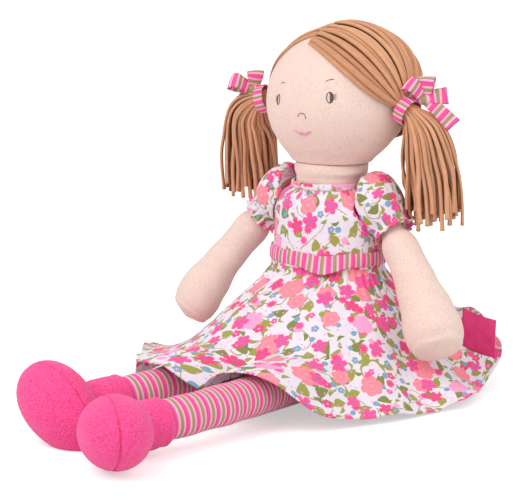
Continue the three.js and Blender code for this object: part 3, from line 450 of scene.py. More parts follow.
# Knitted stripes across the first UV direction: the ramp repeats every period
def buildStripes(period):
    def build(tree):
        place = clothPlace(tree)
        parts = addNode(tree, "SeparateXYZ", {0: place})
        wander = times(tree, minus(tree, noise(tree, place, 0.5), 0.5), 0.25)
        phase = calc(tree, "FRACT", calc(tree, "DIVIDE", calc(tree, "ADD", parts.outputs[0], wander), period))
        ramp = addNode(tree, "ValToRGB", {0: phase})
        stops = ramp.color_ramp
        bands = ((0.0, tint(244, 84, 150)), (0.18, tint(252, 186, 218)), (0.34, tint(166, 154, 106)),
                 (0.62, tint(252, 192, 218)), (0.8, tint(248, 92, 160)))
        for number, (where, colour) in enumerate(bands):
            stop = stops.elements[number] if number < 2 else stops.elements.new(where)
            stop.position, stop.color = where, colour
        stops.interpolation = "CONSTANT"
        fine = noise(tree, place, 2.4, 2.0)
        colour = wash(tree, fine, 0.35, 0.7, 0.22, ramp.outputs[0], tint(150, 60, 90))
        ribs = addNode(tree, "TexWave", {"Vector": place, "Scale": 0.6, "Distortion": 1.2, "Detail": 2.0},
                       wave_type="BANDS", bands_direction="Y").outputs[1]
        return colour, calc(tree, "ADD", ribs, fine)
    return build


# Rolled jersey: fine ribs along the strip, each strip a little lighter or darker, with painted shade on the
# inward side of each strip, the side that faces the head or the middle of the pigtail
def buildJersey(tree):
    place = clothPlace(tree)
    parts = addNode(tree, "SeparateXYZ", {0: place})
    strand = addNode(tree, "Attribute", attribute_name="strand", attribute_type="GEOMETRY").outputs["Fac"]
    stretched = addNode(tree, "CombineXYZ", {0: times(tree, parts.outputs[0], 2.2),
                                             1: times(tree, parts.outputs[1], 0.16), 2: strand}).outputs[0]
    streak = noise(tree, stretched, 1.0, 3.0, 0.6)
    grain = noise(tree, place, 3.4, 2.0)
    # Painted shade: how far each point of a strip's section turns inward, towards the head or the middle of
    # the pigtail
    undersideShade = calc(tree, "SINE", times(tree, parts.outputs[0], eighthTurn))
    colour = mixColour(tree, strand, tint(200, 142, 106), tint(232, 174, 136))
    deeper = mixColour(tree, 0.5, colour, tint(158, 104, 66))
    colour = mixColour(tree, spread(tree, streak, 0.35, 0.7), deeper, colour)
    colour = wash(tree, grain, 0.4, 0.7, 0.18, colour, tint(228, 176, 140))
    # Painted shade: the inward side of each strip darkened towards a deep brown
    colour = wash(tree, undersideShade, -0.3, 0.5, 0.75, colour, tint(112, 70, 48))
    return colour, calc(tree, "ADD", streak, times(tree, grain, 0.5))


# Brushed fleece: small curls, with painted shade darkening the pits between them and a painted highlight
# paling their tips
def buildFleece(tree):
    place = objectPlace(tree)
    curls = noise(tree, place, 1300, 3.0, 0.62, 0.5)
    broad = noise(tree, place, 90, 2.0)
    # The fleece's own pink, darkened by painted shade in the pits between the curls
    colour = mixColour(tree, spread(tree, curls, 0.36, 0.62), tint(232, 54, 120), tint(255, 98, 166))
    # Painted highlight on the tips of the curls
    colour = wash(tree, curls, 0.58, 0.8, 0.4, colour, tint(255, 134, 186))
    colour = wash(tree, broad, 0.4, 0.7, 0.2, colour, tint(244, 70, 142))
    return colour, calc(tree, "ADD", curls, times(tree, broad, 0.3))


# One even colour with a fine grain
def buildPlain(low, high, scale):
    def build(tree):
        grain = noise(tree, objectPlace(tree), scale, 3.0, 0.6)
        return mixColour(tree, spread(tree, grain, 0.35, 0.65), low, high), grain
    return build


# Satin: fine yarns that run across the tab
def buildSatin(tree):
    place = clothPlace(tree)
    yarn = addNode(tree, "TexWave", {"Vector": place, "Scale": 1.1, "Distortion": 0.5, "Detail": 1.0},
                   wave_type="BANDS", bands_direction="Y").outputs[1]
    broad = noise(tree, place, 0.2, 2.0)
    colour = mixColour(tree, yarn, tint(196, 34, 98), tint(214, 50, 114))
    return wash(tree, broad, 0.35, 0.7, 0.3, colour, tint(226, 84, 140)), yarn


velour = clothLook("skinVelour", buildVelour, 0.95, 0.25, (1, 0.95, 0.93, 1), 0.6, 0.45)
floral = clothLook("floralCotton", buildFloral, 0.8, 0.05, bump=0.2, bumpMm=0.15)
stockingStripes = clothLook("stripedJersey", buildStripes(stockingPeriod), 0.9, 0.1, bump=0.25, bumpMm=0.2)
ribbonStripes = clothLook("stripedRibbon", buildStripes(ribbonPeriod), 0.85, 0.1, bump=0.25, bumpMm=0.2)
jersey = clothLook("rolledJersey", buildJersey, 0.85, 0.12, (1, 0.85, 0.7, 1), 0.35, 0.25)
fleece = clothLook("pinkFleece", buildFleece, 1.0, 0.3, (1, 0.7, 0.85, 1), 0.8, 0.7)
fibre = clothLook("stuffingFibre", buildPlain(tint(226, 224, 218), tint(250, 249, 245), 700), 1.0, 0.2,
                  bump=0.7, bumpMm=0.6)
satin = clothLook("labelSatin", buildSatin, 0.5, 0.1, bump=0.2, bumpMm=0.1)
elastic = clothLook("flatElastic", buildPlain(tint(214, 212, 208), tint(244, 243, 240), 1500), 0.8,
                    bump=0.5, bumpMm=0.2)
brownThread, pinkThread, whiteThread = (
    clothLook(name + "Thread", buildPlain(tint(*low), tint(*high), 4000), 0.6, 0.2, bump=0.4, bumpMm=0.1)
    for name, low, high in (("brown", (84, 58, 56), (120, 88, 84)),
                            ("pink", (224, 134, 182), (238, 164, 204)),
                            ("white", (214, 206, 212), (246, 240, 244))))
print("materials made")

# Torso, which the dress covers, and every filling
torso = dict(height=112, halfWidth=38, depthShare=0.8, lean=5, voxel=2.0, grow=1.3, table=(
    (0, 0.66), (0.04, 0.86), (0.14, 0.98), (0.26, 1), (0.42, 0.94), (0.55, 0.87), (0.64, 0.84),
    (0.78, 0.83), (0.88, 0.82), (0.95, 0.7), (1, 0.48)))
filling = dict(voxel=2.5, grow=-0.4)
leanSlope = math.tan(math.radians(torso["lean"]))


# R(z): half the width times the share that the table gives at that height
def torsoRadius(z):
    return torso["halfWidth"] * tableCurve(torso["table"], z / torso["height"])


# Points of the torso's form: (R(z) + lift) times (cos a, depth share sin a), leaning back with height
def torsoPoint(angle, z, lift):
    r = torsoRadius(z) + lift
    return join(r * np.cos(angle), torso["depthShare"] * r * np.sin(angle) + z * leanSlope, z)


piece = softCopy("torso_body", "torso_filling", torso["voxel"], torso["grow"])
place(piece, velour, "torso", ["torso_skin"], "skin", fill=0.8)
for node in [n for n in frame["nodes"] if "filling" in n]:
    body = next(b for b, members in frame["record"]["behaviour"]["bodies"].items() if node in members)
    piece = softCopy("stuffing_" + node.replace("_filling", ""), node, filling["voxel"], filling["grow"])
    place(piece, fibre, body, [node], "filling", fill=0.8)
print("torso and fillings made")

# Neck: a tube about the pivot with a round lower end, a bulge, one crease and a tucked rim
neck = dict(pivot=(0, 9.449, 108), low=-10, high=15.75, radius=19.8, bulge=0.9, ball=20.2, crease=1.2)
t, angle = grid(40, 96)
height = neck["low"] + t * (neck["high"] - neck["low"])
ballRadius = np.sqrt(np.maximum(neck["ball"] ** 2 - np.minimum(height, 0) ** 2, 1))
tubeRadius = neck["ball"] + (neck["radius"] - neck["ball"]) * smoothStep(0, 8, height)
radius = np.where(height < 0, ballRadius, tubeRadius)
bulge = neck["bulge"] * np.sin(np.pi * np.clip(height / neck["high"], 0, 1))
bulge = bulge * (1 + 0.4 * np.cos(2 * angle + 0.6))
radius = radius + bulge * smoothStep(7.5, 11, height)
radius = radius + 0.3 * np.cos(5 * angle + 1) * smoothStep(6, 12, height) * smoothStep(15, 13, height)
radius = radius + neck["crease"] * hump(height, 11, 2.6) * hump(angle, 5.9, 0.5)
radius = radius + 0.7 * smoothStep(8, 14.5, height) - 1.2 * smoothStep(14.7, 15.6, height)
points = join(radius * np.cos(angle), radius * np.sin(angle), height) + np.array(neck["pivot"])
place(makeMesh("neck", points), velour, "neck", ["neck_skin"], "skin", fill=0.8)

# Head: R(share) around a profile, flatter from front to back, and leaning with height
head = dict(low=123.975, height=74, halfWidth=43.2, depthShare=0.87, middleShare=0.51, back=6, side=1.4,
            seamBack=3, seamTuck=0.9,
            table=((0, 0.51), (0.05, 0.61), (0.14, 0.755), (0.26, 0.895), (0.38, 0.975), (0.51, 1),
                   (0.63, 0.975), (0.75, 0.88), (0.85, 0.73), (0.93, 0.53), (0.98, 0.29), (1, 0.0)))
head["centre"] = np.array([head["side"], neck["pivot"][1] + head["back"],
                           head["low"] + head["height"] * head["middleShare"]])
head["slope"] = head["back"] / (head["centre"][2] - head["low"])
head["sideSlope"] = head["side"] / (head["centre"][2] - head["low"])
head["deep"] = head["halfWidth"] * head["depthShare"]
head["tall"] = head["height"] * (1 - head["middleShare"])
headTable = [(math.acos(1 - 2 * share) / math.pi, wide) for share, wide in head["table"]]


# R(share): half the width times the share that the table gives, read over arccos(1 - 2 share) / pi
def headRadius(share):
    polar = np.arccos(np.clip(1 - 2 * share, -1, 1)) / np.pi
    return head["halfWidth"] * np.maximum(tableCurve(headTable, polar), 0)


# Threads of the face: their height above the skin, and the radius of each kind
face = dict(lift=0.12, rim=0.24, iris=0.17, white=0.2, lashes=0.13, nose=0.19, mouth=0.24)


# The point of the head's front at x and a height: y = middle - depth share times the root of R^2 - x^2
def onFace(x, z):
    r = headRadius((z - head["low"]) / head["height"]) + face["lift"]
    rise = z - head["centre"][2]
    aside = x - head["centre"][0] - head["sideSlope"] * rise
    forward = head["depthShare"] * np.sqrt(np.maximum(r**2 - aside**2, 0))
    y = head["centre"][1] + head["slope"] * rise - forward
    return join(x, y - face["lift"] * 0.2, z)


# One panel of the head from seam to seam: the seam lies in a plane square to the front
def headPanel(name, front, rows=120, columns=140):
    t = np.linspace(-0.1, 1, rows)[:, None]
    share = (1 - np.cos(np.pi * np.maximum(t, 0))) / 2
    tuck = np.clip(-t / 0.1, 0, 1)
    r = headRadius(share) * (1 - 0.22 * tuck**2)
    rise = head["low"] - 0.15 * tuck + share * head["height"] - head["centre"][2]
    behind = (head["seamBack"] - head["slope"] * rise) / np.maximum(r * head["depthShare"], 1e-6)
    edge = np.arcsin(np.clip(behind, -0.995, 0.995))
    start, stop = (np.pi - edge, 2 * np.pi + edge) if front else (edge, np.pi - edge)
    u = np.linspace(0, 1, columns)[None, :]
    angle = start + (stop - start) * u
    fromSeam = np.minimum(u, 1 - u) * (stop - start) * r
    r = r - head["seamTuck"] * hump(fromSeam, 0, 1.1)
    x = r * np.cos(angle) + head["centre"][0] + head["sideSlope"] * rise
    y = head["depthShare"] * r * np.sin(angle) + head["centre"][1] + head["slope"] * rise
    return makeMesh(name, join(x, y, rise + head["centre"][2]), around=False, caps=(False, False))


for name, node in (("front", "head_face"), ("back", "head_back")):
    panel = headPanel(f"head_{name}_panel", name == "front")
    place(panel, velour, "head", [node], "skin", fill=0.9, wall=1.0)


# Thread laid in a tube along lines of points, one tube to each line
def thread(name, lines, radius, look, body, sidesCount=6, reference=(0, -1, 0)):
    lines = np.asarray(lines, float)
    ends = np.ones(lines.shape[-2])
    ends[[0, -1]] = 0.45
    rings = tube(lines, radius * ends, radius * ends, sidesCount, reference)
    place(makeMesh(name, rings), look, body)


# Face: stitched brows, eyes, nose and mouth
steps = np.linspace(0, 1, 25)
around, half = np.linspace(0, 2 * np.pi, 33), np.linspace(-1.45, 1.45, 33)
for name, x, z, wide, tall, lean, lash in (("right", -16.2, 159.6, 1.2, 2.8, 0.05, -1),
                                           ("left", 18.4, 162.7, 1.8, 2.9, -0.1, 1)):
    # Half an oval at one side of the eye: (wide share cos h, tall rise sin h), leaning with its height
    def eyeArc(way, share, rise):
        aside = way * wide * share * np.cos(half) + lean * tall * np.sin(half)
        return onFace(x + aside, z + rise * tall * np.sin(half))

    rim = onFace(x + wide * np.cos(around) + lean * tall * np.sin(around), z + tall * np.sin(around))
    irises = [eyeArc(lash, share, 0.93) for share in (0.1, 0.34, 0.58, 0.8)]
    whites = [eyeArc(-lash, share, 0.8) for share in (0.25, 0.5)]
    rays = [onFace(x + lash * (0.8 * wide + 1.9 * steps),
                   z + 0.2 * tall * number + steps * (0.1 + 0.4 * number)) for number in (-1, 0, 1, 2)]
    for kind, lines, look in (("rim", [rim], brownThread), ("iris", irises, brownThread),
                              ("white", whites, whiteThread), ("lashes", rays, brownThread)):
        thread(f"eye_{kind}_{name}", lines, face[kind], look, "head")
for name, x, z, wide, rise, radius in (("left", 14.8, 171.2, 4.2, 1.1, 0.2),
                                       ("right", -15.6, 168.4, 3.4, 0.5, 0.18)):
    arc = onFace(x + wide * steps, z + rise * steps + 0.5 * np.sin(np.pi * steps))
    thread("brow_" + name, [arc], radius, brownThread, "head")
bend = np.linspace(0, np.pi * 1.12, 25)
nose = onFace(2.2 - 2.5 * np.cos(bend), 151.2 + 2.3 * np.sin(bend))
thread("nose", [nose], face["nose"], brownThread, "head")
smile = steps * 2 - 1
mouth = [onFace(x + wide * smile, z + sag * smile**2 + dip * np.cos(3 * np.pi * smile) * (1 - smile**2))
         for x, wide, z, sag, dip in ((1.6, 6.4, 142.6, 1.2, 0.5), (1.8, 5.6, 141.9, 1.8, 0),
                                      (2.0, 5.0, 141.0, 2.6, 0))]
thread("mouth", mouth, face["mouth"], pinkThread, "head")
print("head and face made")

# Hair: strips sewn along a parting and drawn over the head to a tie on each side
hair = dict(partingOffset=9.8, partingStart=37, partingEnd=-128,
            ties=((46.5, 9.449, 156.5), (-44.5, 9.449, 156.5)), strips=48, steps=44, halfWidth=1.3,
            fringe=(0.33, -0.1), fringeShare=0.3, firstShare=(0, 0.075), halfThick=(1.05, 0.9),
            swell=(3.2, 0.6), lift=(1.0, 0.45), layer=(1.2, 0.8), crown=1.9, underLift=0.7)
ties = np.array(hair["ties"])


# The point over the head in a direction: each half size, with the lift, times that direction, then the lean
def overHead(direction, lift):
    wide, deep, tall = (head[half] + lift for half in ("halfWidth", "deep", "tall"))
    x, y, z = np.moveaxis(direction, -1, 0)
    z = z * tall
    return join(x * wide + z * head["sideSlope"], y * deep + z * head["slope"], z) + head["centre"]


# The direction that overHead takes to a point: the lean taken out, then each half size
def headDirection(point):
    x, y, z = point - head["centre"]
    return unit(np.array([(x - z * head["sideSlope"]) / head["halfWidth"],
                          (y - z * head["slope"]) / head["deep"], z / head["tall"]]))


# Directions on great arcs from the parting to the tie: (sin((1 - s) a) start + sin(s a) goal) / sin(a)
def capDirections(index, out, fan, share):
    turn = np.radians(hair["partingStart"] + (hair["partingEnd"] - hair["partingStart"]) * fan)
    start = unit(join((-hair["partingOffset"] + out * 0.4) / head["halfWidth"], -np.sin(turn), np.cos(turn)))
    goal = headDirection(ties[index])
    angle = np.arccos(np.clip(start @ goal, -1, 1))[..., None]
    way = (np.sin((1 - share) * angle) * start + np.sin(share * angle) * goal) / np.sin(angle)
    fringe = hair["fringe"][index] * np.maximum(0, 1 - np.asarray(fan)[..., None] / hair["fringeShare"])
    return unit(way - np.sin(np.pi * share) * fringe * np.array([0, 0.1, 1.0]))


# A strip of rolled jersey: route + wide cos(a) across + thick sin(a) rise, with a crease down its back
def stripRings(route, wide, thick, reference, sidesCount=10):
    _, across, up = framesAlong(route, reference)
    angle = np.arange(sidesCount) * 2 * np.pi / sidesCount
    dent = 1 - 0.16 * hump(wrapped(angle - np.pi / 2), 0, 0.45)
    wide, thick = (np.asarray(w)[..., None, None] for w in (wide, thick))
    cos, sin = (np.cos(angle) * dent)[:, None], (np.sin(angle) * dent)[:, None]
    return route[..., None, :] + wide * cos * across[..., None, :] + thick * sin * up[..., None, :]


# Places on strips: 0 to 8 round each, and the length walked along it
def stripUv(rings):
    m = rings.shape[-2]
    step = np.linalg.norm(np.diff(rings[..., 0, :], axis=-2), axis=-1)
    length = np.concatenate([np.zeros(rings.shape[:-3] + (1,)), np.cumsum(step, -1)], -1)
    u = np.linspace(0, 8, m + 1)
    return join(u[None, :], length[..., None])


for index, name, out in sides:
    count, along = hair["strips"], np.linspace(0.0, 1.0, hair["steps"])
    jitter = np.concatenate([[0], seed.uniform(-0.35, 0.35, count - 2) / count, [0]])
    fan = np.linspace(hair["firstShare"][index], 1.0, count) + jitter
    routes, wides, thicks, refs = [], [], [], []
    for number in range(count):
        direction = capDirections(index, out, np.full(hair["steps"], fan[number]), along[:, None])
        lift = hair["lift"][index] + number % 2 * hair["layer"][index] + hair["swell"][index] * along**1.6
        lift = lift + seed.uniform(-0.25, 0.35)
        crown = hair["crown"] * smoothStep(0.5, 0.0, along)
        lift = lift + crown * smoothStep(0.1, 0.35, fan[number]) * smoothStep(1, 0.7, fan[number])
        wander = np.sin(np.pi * along * seed.uniform(1, 2.4) + seed.uniform(0, 6))
        lift = lift + 0.5 * wander * np.sin(np.pi * along)
        lift = lift * smoothStep(-0.03, 0.05, along)
        if number == 0:
            lift = lift * 0.75
        routes.append(overHead(direction, lift))
        refs.append(direction)
        narrow = 1 + 0.42 * np.sin(np.pi * np.clip(along * 1.15, 0, 1)) - 0.12 * along
        wides.append(hair["halfWidth"] * narrow * seed.uniform(0.9, 1.15))
        thicks.append(np.full(hair["steps"], hair["halfThick"][index]) * seed.uniform(0.9, 1.1))
    routes, refs = np.array(routes), np.array(refs)
    pull = smoothStep(0.86, 1.0, along)[None, :, None]
    routes = routes + pull * np.array([out * 1.5, 0, 0])
    rings = stripRings(routes, np.array(wides), np.array(thicks), -refs)
    piece = makeMesh("hair_strips_" + name, rings, stripUv(rings), values=seed.uniform(0.1, 1, count))
    place(piece, jersey, "head", ["hair_" + name], "hair")
    # A sheet under the strips in the same jersey: the jersey's painted shade lays dark stripes across it
    fan = np.linspace(0.012 + hair["firstShare"][index], 0.985, 60)[None, :]
    share = np.linspace(0.0, 0.985, 30)[:, None]
    under = overHead(capDirections(index, out, fan, share[..., None]), hair["underLift"])
    uv = join(fan * 90, share * 70)
    piece = makeMesh("hair_under_" + name, under, uv, around=False, caps=(False, False), values=[0.0])
    place(piece, jersey, "head", slotName="hair", wall=0.5)
print("hair made")


# Moves points out of a round room about a line: line + direction from it times the room's radius
def pushOut(points, start, direction, radiusAt, low=-1e9):
    direction = unit(np.asarray(direction, float))
    away = points - start
    along = away @ direction
    side = away - along[..., None] * direction
    distance = np.linalg.norm(side, axis=-1)
    radius = radiusAt(along)
    inside = (distance < radius) & (along > low)
    moved = start + along[..., None] * direction + unit(side) * radius[..., None]
    return np.where(inside[..., None], moved, points)


# Arms and sleeves
arms = dict(shoulders=((28, 9.23, 105.5), (-28, 9.23, 105.5)), upperLength=52, lowerLength=51,
            upperSplay=(43, 48), upperSwing=(11, 11), lowerSplay=(31, 21), lowerSwing=(25, 25), radius=10,
            seam=26.35, flat=0.74, flatTurn=53, thumb=1.6, crease=1.5, gap=0.3,
            table=((0, 0.7), (0.04, 0.95), (0.12, 0.88), (0.19, 0.67), (0.24, 0.67), (0.3, 0.94),
                   (0.45, 1.05), (0.6, 1.22), (0.74, 1.46), (0.86, 1.61), (0.93, 1.44), (0.975, 1.02),
                   (1, 0.0)))
sleeve = dict(radius=15.6, length=25, rise=11, elastic=0.905, elasticRadius=8.4, table=(
    (0, 0.5), (0.06, 0.76), (0.17, 0.94), (0.32, 1), (0.52, 0.99), (0.7, 0.88), (0.83, 0.7), (0.88, 0.64),
    (0.93, 0.64), (1, 0.78)))
sleeve["total"] = sleeve["rise"] + sleeve["length"]


# A direction down an arm from its splay a and its swing forward b: (sin a, -cos a sin b, -cos a cos b)
def limbDirection(out, splay, swing):
    a, b = math.radians(splay), math.radians(swing)
    return np.array([out * math.sin(a), -math.cos(a) * math.sin(b), -math.cos(a) * math.cos(b)])


# Where an arm is sewn on, its upper direction, and where the sleeve about it starts
def upperArm(index, out):
    shoulder = np.array(arms["shoulders"][index])
    way = limbDirection(out, arms["upperSplay"][index], arms["upperSwing"][index])
    return shoulder, way, shoulder - way * sleeve["rise"]


# The room that a sleeve takes up at a distance along it, with space for a strip of hair
def sleeveRoom(along):
    radius = sleeve["radius"] * tableCurve(sleeve["table"], np.clip(along / sleeve["total"], 0, 1)) + 2.6
    return np.where((along > -2) & (along < sleeve["total"] + 2), radius, 0)


# How far out a sleeve or arm starts: at its seam inside the armhole, clear of the bodice elsewhere
def keepOutside(points, out, shoulder, gap):
    y, z = points[..., 1], np.clip(points[..., 2], 20, 110)
    r = torsoRadius(z) + 2.4
    surface = np.sqrt(np.maximum(r**2 - ((y - z * leanSlope) / torso["depthShare"]) ** 2, 0))
    off = np.hypot(y - shoulder[1], points[..., 2] - shoulder[2])
    limit = arms["seam"] + np.maximum(surface + 0.6 - arms["seam"], 0) * smoothStep(13.5, 17, off) + gap
    x = out * np.maximum(points[..., 0] * out, limit)
    return join(x, y, points[..., 2])


for index, name, out in sides:
    shoulder, upperWay, start = upperArm(index, out)
    lowerWay = limbDirection(out, arms["lowerSplay"][index], arms["lowerSwing"][index])
    elbow = shoulder + upperWay * arms["upperLength"]
    tip = elbow + lowerWay * arms["lowerLength"]

    # The arm: a tube that is a hand at its end, with a thumb and creases, and flatter towards it
    t, angle = grid(120, 72)
    share = (1 - np.cos(np.pi * t[:, 0])) / 2
    route = bezierRoute(shoulder, elbow, tip)
    route = np.stack([np.interp(share, np.linspace(0, 1, routeSteps), route[:, c]) for c in range(3)], -1)
    wide = arms["radius"] * tableCurve(arms["table"], share)
    rings = tube(route, wide, wide, angle.size)
    thumbAngle = np.pi if out > 0 else 0.0
    aside = wrapped(angle - thumbAngle - 0.9)
    thumb = arms["thumb"] * np.exp(-((share[:, None] - 0.9) / 0.05) ** 2 - (aside / 0.5) ** 2)
    crease = arms["crease"] * np.exp(-((share[:, None] - 0.95) / 0.012) ** 2 - (aside / 0.4) ** 2)
    creased = smoothStep(0.45, 0.6, share)[:, None]
    wrist = 0.35 * np.sin(2 * np.pi * share[:, None] * 5 + 2 * np.cos(angle)) * creased
    wrist = wrist * (1 - smoothStep(0.75, 0.85, share))[:, None]
    rings = swell(rings, route, thumb - crease + wrist)
    flatTurn = math.radians(arms["flatTurn"])
    thin = np.array([out * math.cos(flatTurn), -math.sin(flatTurn), 0])
    flat = (1 - (1 - arms["flat"]) * smoothStep(0.3, 0.6, share))[:, None]
    rings = rings + (((rings - route[:, None, :]) @ thin) * (flat - 1))[..., None] * thin
    rings = keepOutside(rings, out, shoulder, arms["gap"])
    place(makeMesh("arm_" + name, rings), velour, "arm_" + name, ["arm_skin_" + name], "skin", fill=0.8)

    # The puffed sleeve: a profile about the upper arm, gathered at its armhole and at the elastic
    share, angle = grid(90, 180)
    line = start + share * sleeve["total"] * upperWay
    _, across, up = framesAlong(line, np.array([0, 1, 0.0]))
    r = sleeve["radius"] * tableCurve(sleeve["table"], share)
    gather = hump(share, sleeve["elastic"], 0.1)
    top = hump(share, 0.04, 0.12)
    ripple = np.cos(15 * angle + 1.3 * np.sin(2 * angle) + index) * 0.62 + np.cos(24 * angle + 2) * 0.3
    frill = np.cos(13 * angle + 1.5) * smoothStep(0.93, 1, share)
    r = r + ripple * (gather * 0.9 + top * 0.7 + 0.25) + frill
    r = r + 0.5 * np.cos(3 * angle + 1 + index) * np.sin(np.pi * share)
    around = np.cos(angle)[..., None] * across[:, None, :] + np.sin(angle)[..., None] * up[:, None, :]
    rings = line[:, None, :] + r[..., None] * around
    rings = keepOutside(rings, out, shoulder, 0.0)
    u = np.linspace(0, 2 * np.pi * sleeve["radius"], angle.size + 1)[None, :] + 40 * index
    uv = join(u, share * 44)
    piece = makeMesh("puff_sleeve_" + name, rings, uv, caps=(True, False))
    place(piece, floral, "arm_" + name, ["sleeve_" + name], "cotton", wall=0.7)

    # The elastic in its casing: a flat oval carried round a circle
    ring = turns(96)
    line = start + upperWay * (sleeve["elastic"] * sleeve["total"])
    spoke = np.cos(ring)[:, None] * across[0] + np.sin(ring)[:, None] * up[0]
    circle = line + sleeve["elasticRadius"] * spoke
    way = unit(circle - line)
    section = turns(12)
    cos, sin = np.cos(section)[None, :, None], np.sin(section)[None, :, None]
    rings = circle[:, None, :] + 0.35 * cos * way[:, None, :] + 0.9 * sin * upperWay
    rings = np.concatenate([rings, rings[:1]])
    piece = makeMesh("cuff_elastic_" + name, rings, caps=(False, False))
    place(piece, elastic, "arm_" + name, ["sleeve_elastic_" + name], "elastic")
print("arms and sleeves made")

# Bodice: two panels over the torso, with flat armholes under the sleeves and a round neckline
bodice = dict(low=67.0, high=111.2, lift=1.9, armholeRadius=16.8, armholeOut=25.7, rows=90, columns=150)
binding = dict(radius=21.9, height=111.4, halfWide=0.75, halfTall=1.9, ripple=0.15, stitches=60,
               stitchRadius=22.95, stitchHeight=110.6, stitchThread=0.16)
closure = dict(low=76, high=102.5, halfWide=3.5, lift=2.5, rows=30, columns=14)


# The torso's form with a lift, cut off flat under each armhole and pushed out of the neck's round room
def bodicePoints(angle, z, lift):
    points = torsoPoint(angle, z, lift)
    for index, _, out in sides:
        shoulder = np.array(arms["shoulders"][index])
        off = np.hypot(points[..., 1] - shoulder[1], points[..., 2] - shoulder[2])
        rim = bodice["armholeRadius"]
        limit = bodice["armholeOut"] + 30 * smoothStep(rim, rim + 3, off)
        x = np.where(points[..., 0] * out > limit, out * limit, points[..., 0])
        points = join(x, points[..., 1], points[..., 2])
    room = neck["ball"] + 1.0 + lift * 0.3
    return pushOut(points, np.array(neck["pivot"]), (0, 0, 1), lambda along: room + 0 * along)


for name, start, stop in (("front", np.pi, 2 * np.pi), ("back", 0, np.pi)):
    z = np.linspace(bodice["low"], bodice["high"], bodice["rows"])[:, None]
    angle = np.linspace(start + 0.01, stop - 0.01, bodice["columns"])[None, :]
    pucker = 0.35 * np.cos(9 * angle + z * 0.05) * smoothStep(92, 70, z) + 0.3 * np.cos(4 * angle + z * 0.09)
    pucker = pucker - 0.8 * hump(angle, start, 0.05) - 0.8 * hump(stop, angle, 0.05)
    points = bodicePoints(angle, z, bodice["lift"] + pucker)
    uv = join(angle * 34, z)
    piece = makeMesh("bodice_panel_" + name, points, uv, around=False, caps=(False, False))
    place(piece, floral, "torso", ["bodice_" + name], "cotton", wall=0.7)

# Neckline binding: a soft roll round the neck opening
ring = np.linspace(0, 2 * np.pi, 145)
section = turns(16)
ripple = binding["ripple"] * np.cos(30 * ring)[:, None]
radial = binding["radius"] + binding["halfWide"] * np.cos(section)[None, :] + ripple
height = binding["height"] + binding["halfTall"] * np.sin(section)[None, :]
points = join(radial * np.cos(ring)[:, None], radial * np.sin(ring)[:, None] + neck["pivot"][1], height)
uv = join(ring[:, None] * 21 + 11, np.linspace(0, 9, 17)[None, :] + 60)
piece = makeMesh("neckline_roll", points, uv, caps=(False, False))
place(piece, floral, "torso", ["neckline_binding"], "cotton")
angle = turns(binding["stitches"])[:, None] + np.linspace(-0.016, 0.016, 5)[None, :]
far = binding["stitchRadius"]
line = join(far * np.cos(angle), far * np.sin(angle) + neck["pivot"][1], binding["stitchHeight"])
thread("neckline_stitches", line, binding["stitchThread"], whiteThread, "torso", 5, (0, 0, 1))

# Closure strip down the back
z = np.linspace(closure["low"], closure["high"], closure["rows"])[:, None]
half = np.linspace(-1, 1, closure["columns"])[None, :]
angle = np.pi / 2 + half * closure["halfWide"] / 34
points = torsoPoint(angle, z, closure["lift"] + 0.25 * (1 - half**2))
uv = join(half * closure["halfWide"] + 300, z)
piece = makeMesh("closure_strip", points, uv, around=False, caps=(False, False))
place(piece, floral, "torso", ["back_closure"], "cotton", wall=0.8)
print("bodice made")

# Legs: the stockings, the shafts of the shoes and the feet
legs = dict(hips=((25, -19, 12.6), (-25, 5, 12.6)), thighLength=105, shinLength=57, thighSway=(12.5, 13.5),
            thighRise=4.5, shinSway=(-18, -17), shinRise=-4, radius=10.8, shaftLength=16, shaftRadius=12.2,
            shaftFloor=0.3,
            table=((0, 0.0), (0.018, 0.62), (0.05, 0.9), (0.12, 1), (0.3, 1), (0.7, 0.98), (1, 0.95)))
feet = dict(half=(20.5, 28, 19.5), ahead=(19, 3), below=(17, 25), turn=(33, 2), roll=(78, 50), taper=0.22,
            seam=0.2, seamTuck=0.05, floor=0.25, room=0.7)
legLines = []
for index in (0, 1):
    hip = np.array(legs["hips"][index], float)
    thigh = aimed(legs["thighSway"][index], legs["thighRise"])
    shin = aimed(legs["shinSway"][index], legs["shinRise"])
    start, knee = hip - thigh * legs["radius"] * 0.9, hip + thigh * legs["thighLength"]
    cuff = knee + shin * legs["shinLength"]
    legLines.append(dict(shin=shin, cuff=cuff, route=bezierRoute(start, knee, cuff)))

